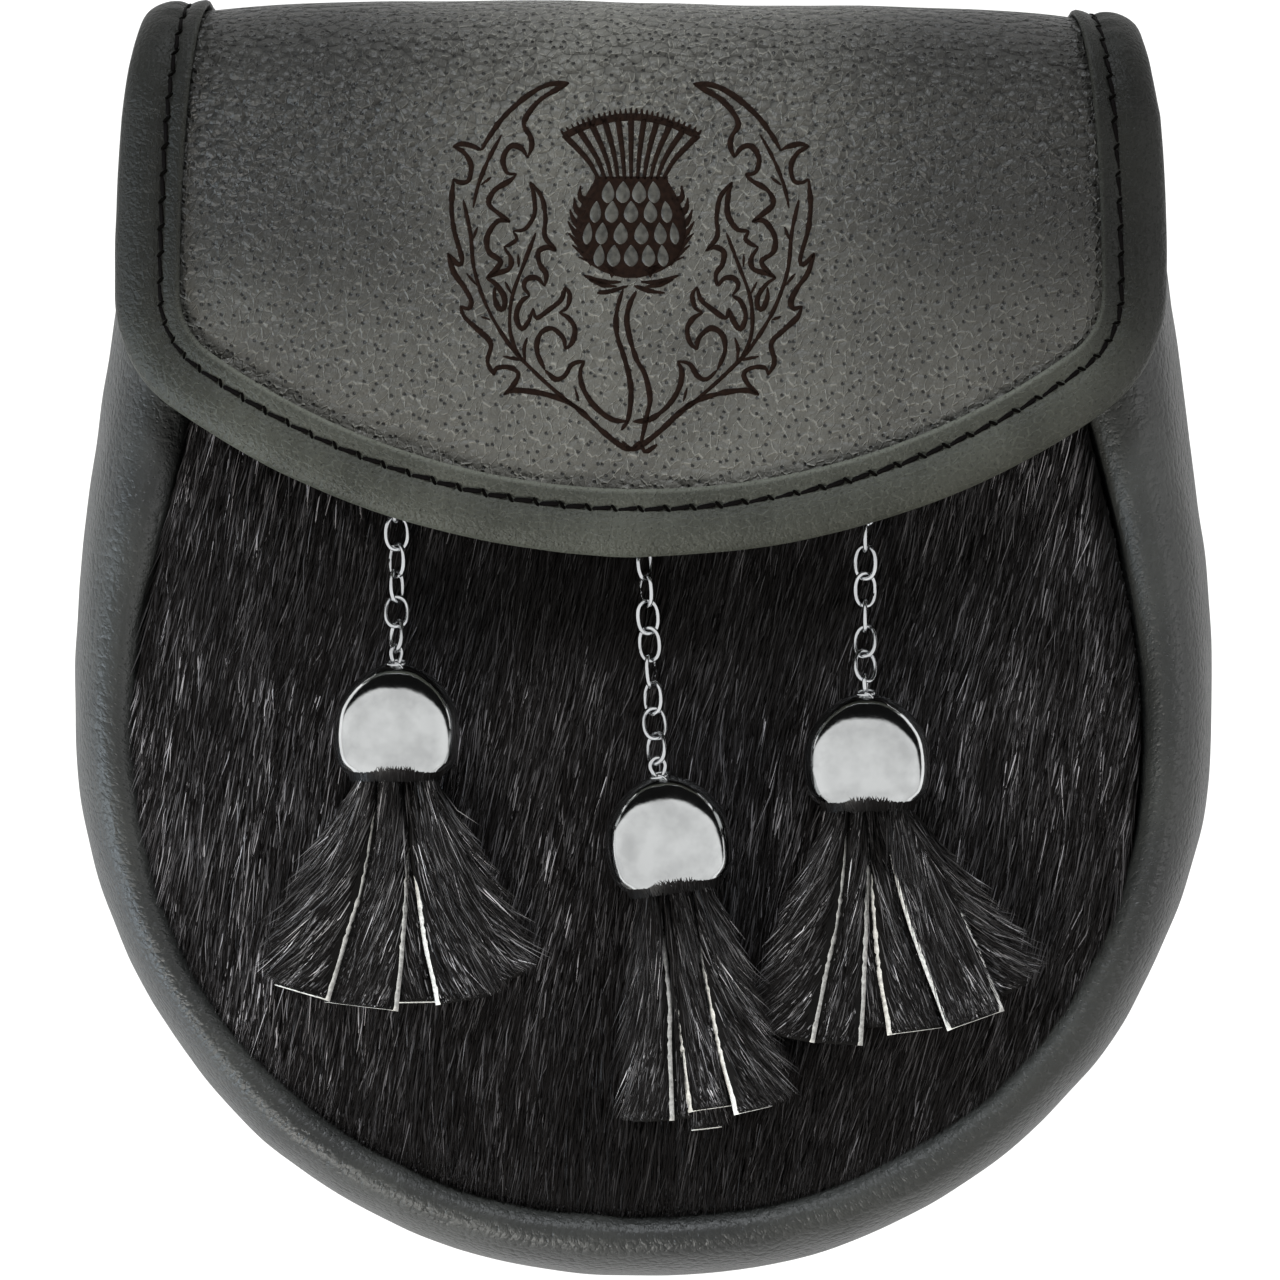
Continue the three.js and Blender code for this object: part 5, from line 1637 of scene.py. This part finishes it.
class SporranColours(bpy.types.PropertyGroup):
    """Colours of the pouch's materials."""

    # Each leather's dark tone is also the base of the painted shade in its pores and creases, and its worn
    # tone the base of its lighter wrinkles, which are wear and a painted highlight
    flap_dark: colour_setting("Flap, low", "Flap leather in its hollows", "#3d3c38")
    flap_light: colour_setting("Flap, worn", "Flap leather where it is worn", "#4b4a45")
    binding_dark: colour_setting("Binding, low", "Binding leather in its hollows", "#2e2f2a")
    binding_light: colour_setting("Binding, worn", "Binding leather where it is worn", "#3e3f39")
    pouch_dark: colour_setting("Pouch, low", "Gusset leather in its hollows", "#1a1b1a")
    pouch_light: colour_setting("Pouch, worn", "Gusset leather where it is worn", "#262725")
    back: colour_setting("Back", "Leather board of the back", "#2a2a28")
    burn: colour_setting("Burned line", "Scorched leather of the thistle", "#1a100b")
    thread: colour_setting("Thread", "Waxed thread of the stitches", "#070505")
    fur_dark: colour_setting("Fur, dark", "Most hairs of the fur", "#070504")
    # The palest hair tones stand in for glints of shine on black hair: painted highlight
    fur_glint: colour_setting("Fur, light", "The palest hairs of the fur", "#9a9799")
    strand_glint: colour_setting("Strands, light", "The palest hairs of the tassels", "#c8c6c8")
    hide: colour_setting("Hide", "Skin under the fur", "#060504")
    cut: colour_setting("Cut edge", "Raw edge of the strips of hide", "#d2d1cd")
    chrome: colour_setting("Caps", "Plated metal of the caps", "#d2d4d4")
    wire: colour_setting("Wire", "Plated wire of the chains", "#e0e2e4")
    floor: colour_setting("Floor", "Studio paper", "#f4f4f4")


class SporranSettings(bpy.types.PropertyGroup):
    """Everything that the sidebar shows."""

    sizes: bpy.props.PointerProperty(type=SporranSizes, name="Sizes", description="Sizes of the pieces")
    colours: bpy.props.PointerProperty(type=SporranColours, name="Colours", description="Their colours")


# Operators


class SPORRAN_OT_back_panel(bpy.types.Operator):
    """Makes the stiff back."""

    bl_idname = "sporran.back_panel"
    bl_label = "Back panel"

    def execute(self, context):
        colours = context.scene.sporran.colours
        board = board_leather("leather_board", tuple(colours.back))
        put_piece("back_board", back_panel_shape(), [board], ["back_panel"], weld=True)
        return {"FINISHED"}


class SPORRAN_OT_gusset(bpy.types.Operator):
    """Makes the soft band round the sides and bottom."""

    bl_idname = "sporran.gusset"
    bl_label = "Gusset"

    def execute(self, context):
        colours = context.scene.sporran.colours
        calf = leather("dyed_calf", tuple(colours.pouch_dark), tuple(colours.pouch_light), CALF)
        shape, uv = gusset_shape()
        put_piece("gusset_band", shape, [calf], ["gusset"], uv=uv)
        return {"FINISHED"}


class SPORRAN_OT_fur_front(bpy.types.Operator):
    """Makes the domed hide of the front and lays the fur on it."""

    bl_idname = "sporran.fur_front"
    bl_label = "Fur front"

    def execute(self, context):
        sizes, colours = context.scene.sporran.sizes, context.scene.sporran.colours
        hide = mottled("black_hide", tuple(colours.hide), SKIN)
        hair = glossy_hair("glossy_black_fur", tuple(colours.fur_dark), tuple(colours.fur_glint), HAIR_LEVEL)
        put_piece("front_hide", front_hide_shape(), [hide], ["front_panel"], weld=True)
        long, wide, lift = sizes.hair_length / MM, sizes.hair_width / MM, sizes.hair_lift / MM
        for seed, (name, (longer, wider, higher, bright)) in enumerate(COATS.items()):
            coat = long * longer, wide * wider, lift * higher, bright
            shape, uv = front_fur_shape(sizes.hairs, *coat, FUR_SEED + seed)
            put_piece(name, shape, [hair], uv=uv, uv_name="OFBake")
        return {"FINISHED"}


class SPORRAN_OT_flap(bpy.types.Operator):
    """Makes the folded flap."""

    bl_idname = "sporran.flap"
    bl_label = "Flap"

    def execute(self, context):
        colours = context.scene.sporran.colours
        pigskin = leather("dyed_pigskin", tuple(colours.flap_dark), tuple(colours.flap_light), PIGSKIN)
        shape, uv = flap_shape()
        put_piece("flap_skin", shape, [pigskin], ["flap"], uv=uv)
        return {"FINISHED"}


class SPORRAN_OT_binding(bpy.types.Operator):
    """Makes the strip folded round the flap's edge, and its stitches."""

    bl_idname = "sporran.binding"
    bl_label = "Binding"

    def execute(self, context):
        sizes, colours = context.scene.sporran.sizes, context.scene.sporran.colours
        pitch, groove = sizes.stitch_pitch / MM, sizes.groove / MM
        calf = leather("bound_calf", tuple(colours.binding_dark), tuple(colours.binding_light), BOUND_CALF)
        shape, uv = binding_shape(pitch, groove)
        put_piece("binding_strip", shape, [calf], ["flap_binding"], uv=uv)
        thread = waxed_thread("waxed_thread", tuple(colours.thread))
        wide, lift = sizes.thread / MM, STITCHED_FACE - groove
        stitch = capsule(sizes.stitch_length / MM, wide, THREAD_FLATNESS * wide)
        stitches = along_binding(stitch, pitch, 0.5, STITCH_SLANT, lift + STITCH_LIFT)
        put_piece("binding_stitches", stitches, [thread], weld=True)
        # A black patch in each needle's hole: painted shade where the hole is
        hole_shade = mottled("pierced_leather", tuple(colours.hide), HOLE_SHADE)
        hole_shades = along_binding(capsule(*NEEDLE_HOLE_SHADE), pitch, 0, HOLE_SLANT, lift)
        put_piece("stitch_holes", hole_shades, [hole_shade], weld=True)
        return {"FINISHED"}


class SPORRAN_OT_thistle(bpy.types.Operator):
    """Burns the thistle into the flap."""

    bl_idname = "sporran.thistle"
    bl_label = "Burned thistle"

    def execute(self, context):
        settings = context.scene.sporran
        burned = mottled("scorched_leather", tuple(settings.colours.burn), SCORCHED)
        bare = mottled("unburned_leather", scaled(settings.colours.flap_light, 0.85), UNBURNED)
        width = settings.sizes.burn_width / MM
        put_piece("burned_thistle", thistle_shape(width), [burned], smooth_shaded=False)
        put_piece("thistle_scales", scale_shapes(), [bare], smooth_shaded=False)
        return {"FINISHED"}


class SPORRAN_OT_chains(bpy.types.Operator):
    """Makes the chains and the wire eyes of the caps, and plates the hidden metal."""

    bl_idname = "sporran.chains"
    bl_label = "Chains"

    def execute(self, context):
        wire = bright_plate("plated_wire", tuple(context.scene.sporran.colours.wire), 0.16)
        for tassel in TASSELS:
            links = sorted(n for n in frame["nodes"] if n.startswith(f"chain_{tassel.name}_link"))
            chain = joined([link_shape(node) for node in links])
            put_piece(f"chain_{tassel.name}", chain, [wire], links)
            eye = f"tassel_{tassel.name}_eye"
            put_piece(f"eye_{tassel.name}", eye_shape(tassel), [wire], [eye])
        for node in ("press_stud", *(f"chain_{tassel.name}_loop" for tassel in TASSELS)):
            frame["nodes"][node].data.materials.clear()
            frame["nodes"][node].data.materials.append(wire)
        return {"FINISHED"}


class SPORRAN_OT_caps(bpy.types.Operator):
    """Makes the three bell caps."""

    bl_idname = "sporran.caps"
    bl_label = "Caps"

    def execute(self, context):
        plate = bright_plate("polished_chrome", tuple(context.scene.sporran.colours.chrome), 0.1)
        for tassel in TASSELS:
            cap = f"tassel_{tassel.name}_cap"
            put_piece(f"cap_{tassel.name}", cap_shape(tassel), [plate], [cap])
        return {"FINISHED"}


class SPORRAN_OT_tassels(bpy.types.Operator):
    """Makes the strips of hide of the three tassels and the fur on them."""

    bl_idname = "sporran.tassels"
    bl_label = "Tassels"

    def execute(self, context):
        sizes, colours = context.scene.sporran.sizes, context.scene.sporran.colours
        hide = bpy.data.materials["black_hide"]
        edge = mottled("cut_hide", tuple(colours.cut), RAW_EDGE)
        light = tuple(colours.strand_glint)
        hair = glossy_hair("glossy_long_fur", tuple(colours.fur_dark), light, HAIR_LEVEL)
        cut, wide = sizes.cut_edge / MM, sizes.hair_width / MM
        for seed, tassel in enumerate(TASSELS):
            shape, worn = strips_shape(tassel, cut)
            strips = f"tassel_{tassel.name}_strips"
            put_piece(f"strips_{tassel.name}", shape, [hide, edge], [strips], worn=worn)
            long = sizes.tassel_hair_length / MM
            fur, uv = tassel_fur_shape(tassel, sizes.tassel_hairs, long, wide, cut, TASSEL_SEED + seed)
            put_piece(f"strip_fur_{tassel.name}", fur, [hair], uv=uv, uv_name="OFBake")
        return {"FINISHED"}


CAMERA_X = -0.63 * MM
CAMERA_HEIGHT = 1.15
PHOTO_WIDTH = 201.8 * MM  # what the picture takes in at the height PHOTO_Z
PHOTO_Z = 12 * MM
SENSOR_MM = 36
FLOOR_HALF = 20
LIT_AT = np.array([0, 0, 0.03])
LAMPS = {
    # place in metres, colour, watts, width in metres
    "key": ((-0.05, 0.7, 0.45), (0.92, 0.96, 1), 8.5, 0.2),
    "side": ((-0.72, -0.22, 0.1), (0.75, 0.88, 1), 7.0, 0.3),
    "right": ((0.8, 0.0, 0.4), (1, 1, 1), 4.2, 0.4),
    "low": ((-0.42, -0.68, 0.42), (1, 0.98, 0.93), 11.0, 0.3),
}
PAPER_LAMP = ((0, 0, 3), (1, 1, 1), 180.0, 4)
# The sky by height, as sine of the height and brightness: what lights the pouch, and what metal mirrors
SKY = ((0, 0.3), (0.3, 0.3), (0.7, 0.2), (1, 0.16))
MIRRORED_SKY = ((0, 0.9), (0.12, 1), (0.4, 1), (0.75, 0.88), (1, 0.95))
MIRRORED_AXIS = (-0.12, -0.55, 0.83)  # the middle of the bright dome that metal mirrors
MIRRORED_EDGE = (-0.02, 0.06)  # the dome goes dark between these cosines from its middle
MIRRORED_DARK = 0.006  # how bright the rest is
BACKDROP = 0.95


def studio_sky(tree):
    """A light tent, brighter low down, with its own dome for metal and a pale backdrop for the camera."""
    node = partial(add_node, tree)
    place = node("TexCoord", result="Generated")
    up = node("SeparateXYZ", {0: place}, "Z")
    roof, mirrored = (
        node("ValToRGB", {"Fac": up}, stops=[(height, (light,) * 3) for height, light in rows])
        for rows in (SKY, MIRRORED_SKY)
    )
    towards = node("VectorMath", {0: place, 1: MIRRORED_AXIS}, "Value", operation="DOT_PRODUCT")
    dark_at, lit_at = MIRRORED_EDGE
    lit = node("MapRange", {"Value": towards, 1: dark_at, 2: lit_at, 3: MIRRORED_DARK, 4: 1})
    light = node("Background", {"Color": roof})
    shine = node("Background", {"Color": mirrored, "Strength": lit})
    seen = node("Background", {"Color": (1, 1, 1, 1), "Strength": BACKDROP})
    glossy, camera = (node("LightPath", result=f"Is {kind} Ray") for kind in ("Glossy", "Camera"))
    sky = node("MixShader", {0: glossy, 1: light, 2: shine})
    sky = node("MixShader", {0: camera, 1: sky, 2: seen})
    node("OutputWorld", {"Surface": sky})


def put_lamp(scene, name, place, colour, watts, width, state, *prefixes):
    """A square soft lamp that looks at the pouch.

    It lights all but the pieces with these prefixes, or only them. Then only they shade each other.
    """
    light = bpy.data.lights.new(name, "AREA")
    light.color = colour
    light.energy = watts
    light.size = width
    lamp = bpy.data.objects.new(name, light)
    lamp.location = place
    x, y, z = LIT_AT - np.array(place)
    lamp.rotation_euler = (np.pi / 2 + np.arctan2(z, np.hypot(x, y)), 0, np.arctan2(y, x) - np.pi / 2)
    scene.collection.objects.link(lamp)
    linked = bpy.data.collections.new(f"{name}_linked")
    for piece in scene.objects:
        if piece.name.startswith(prefixes):
            linked.objects.link(piece)
    for entry in linked.collection_objects:
        entry.light_linking.link_state = state
    lamp.light_linking.receiver_collection = linked
    if state == "INCLUDE":
        lamp.light_linking.blocker_collection = linked


class SPORRAN_OT_stage(bpy.types.Operator):
    """Sets up the floor, the soft light and the camera."""

    bl_idname = "sporran.stage"
    bl_label = "Stage"

    def execute(self, context):
        scene = context.scene
        paper = pale_paper("studio_paper", tuple(scene.sporran.colours.floor))
        mesh = bpy.data.meshes.new("floor")
        corners = [(x * FLOOR_HALF, y * FLOOR_HALF, 0) for x, y in ((-1, -1), (1, -1), (1, 1), (-1, 1))]
        mesh.from_pydata(corners, [], [(0, 1, 2, 3)])
        mesh.materials.append(paper)
        floor = bpy.data.objects.new("floor", mesh)
        scene.collection.objects.link(floor)
        scene.world = bpy.data.worlds.new("studio")
        scene.world.use_nodes = True
        scene.world.node_tree.nodes.clear()
        studio_sky(scene.world.node_tree)
        for name, row in LAMPS.items():
            put_lamp(scene, name, *row, "EXCLUDE", "cap_", "chain_", "eye_", "floor")
        put_lamp(scene, "paper", *PAPER_LAMP, "INCLUDE", "floor")
        camera_data = bpy.data.cameras.new("camera")
        camera_data.sensor_width = SENSOR_MM
        camera_data.lens = SENSOR_MM * (CAMERA_HEIGHT - PHOTO_Z) / PHOTO_WIDTH
        camera = bpy.data.objects.new("camera", camera_data)
        camera.location = (CAMERA_X, 0, CAMERA_HEIGHT)
        scene.collection.objects.link(camera)
        scene.camera = camera
        scene.view_settings.view_transform = "Standard"
        return {"FINISHED"}


STEPS = (
    SPORRAN_OT_back_panel,
    SPORRAN_OT_gusset,
    SPORRAN_OT_fur_front,
    SPORRAN_OT_flap,
    SPORRAN_OT_binding,
    SPORRAN_OT_thistle,
    SPORRAN_OT_chains,
    SPORRAN_OT_caps,
    SPORRAN_OT_tassels,
    SPORRAN_OT_stage,
)


class SPORRAN_PT_panel(bpy.types.Panel):
    """Lists the settings and the steps in the sidebar."""

    bl_label = "Sporran"
    bl_idname = "SPORRAN_PT_panel"
    bl_space_type = "VIEW_3D"
    bl_region_type = "UI"
    bl_category = "Sporran"

    def draw(self, context):
        settings = context.scene.sporran
        for group in (settings.sizes, settings.colours):
            box = self.layout.box()
            for name in group.__annotations__:
                box.prop(group, name)
        for step in STEPS:
            self.layout.operator(step.bl_idname)


CLASSES = (SporranSizes, SporranColours, SporranSettings, *STEPS, SPORRAN_PT_panel)


def register():
    for entry in CLASSES:
        bpy.utils.register_class(entry)
    bpy.types.Scene.sporran = bpy.props.PointerProperty(type=SporranSettings)


def unregister():
    del bpy.types.Scene.sporran
    for entry in reversed(CLASSES):
        bpy.utils.unregister_class(entry)


def main():
    register()
    for step in STEPS:
        group, name = step.bl_idname.split(".")
        getattr(getattr(bpy.ops, group), name)()


if __name__ == "__main__":
    main()
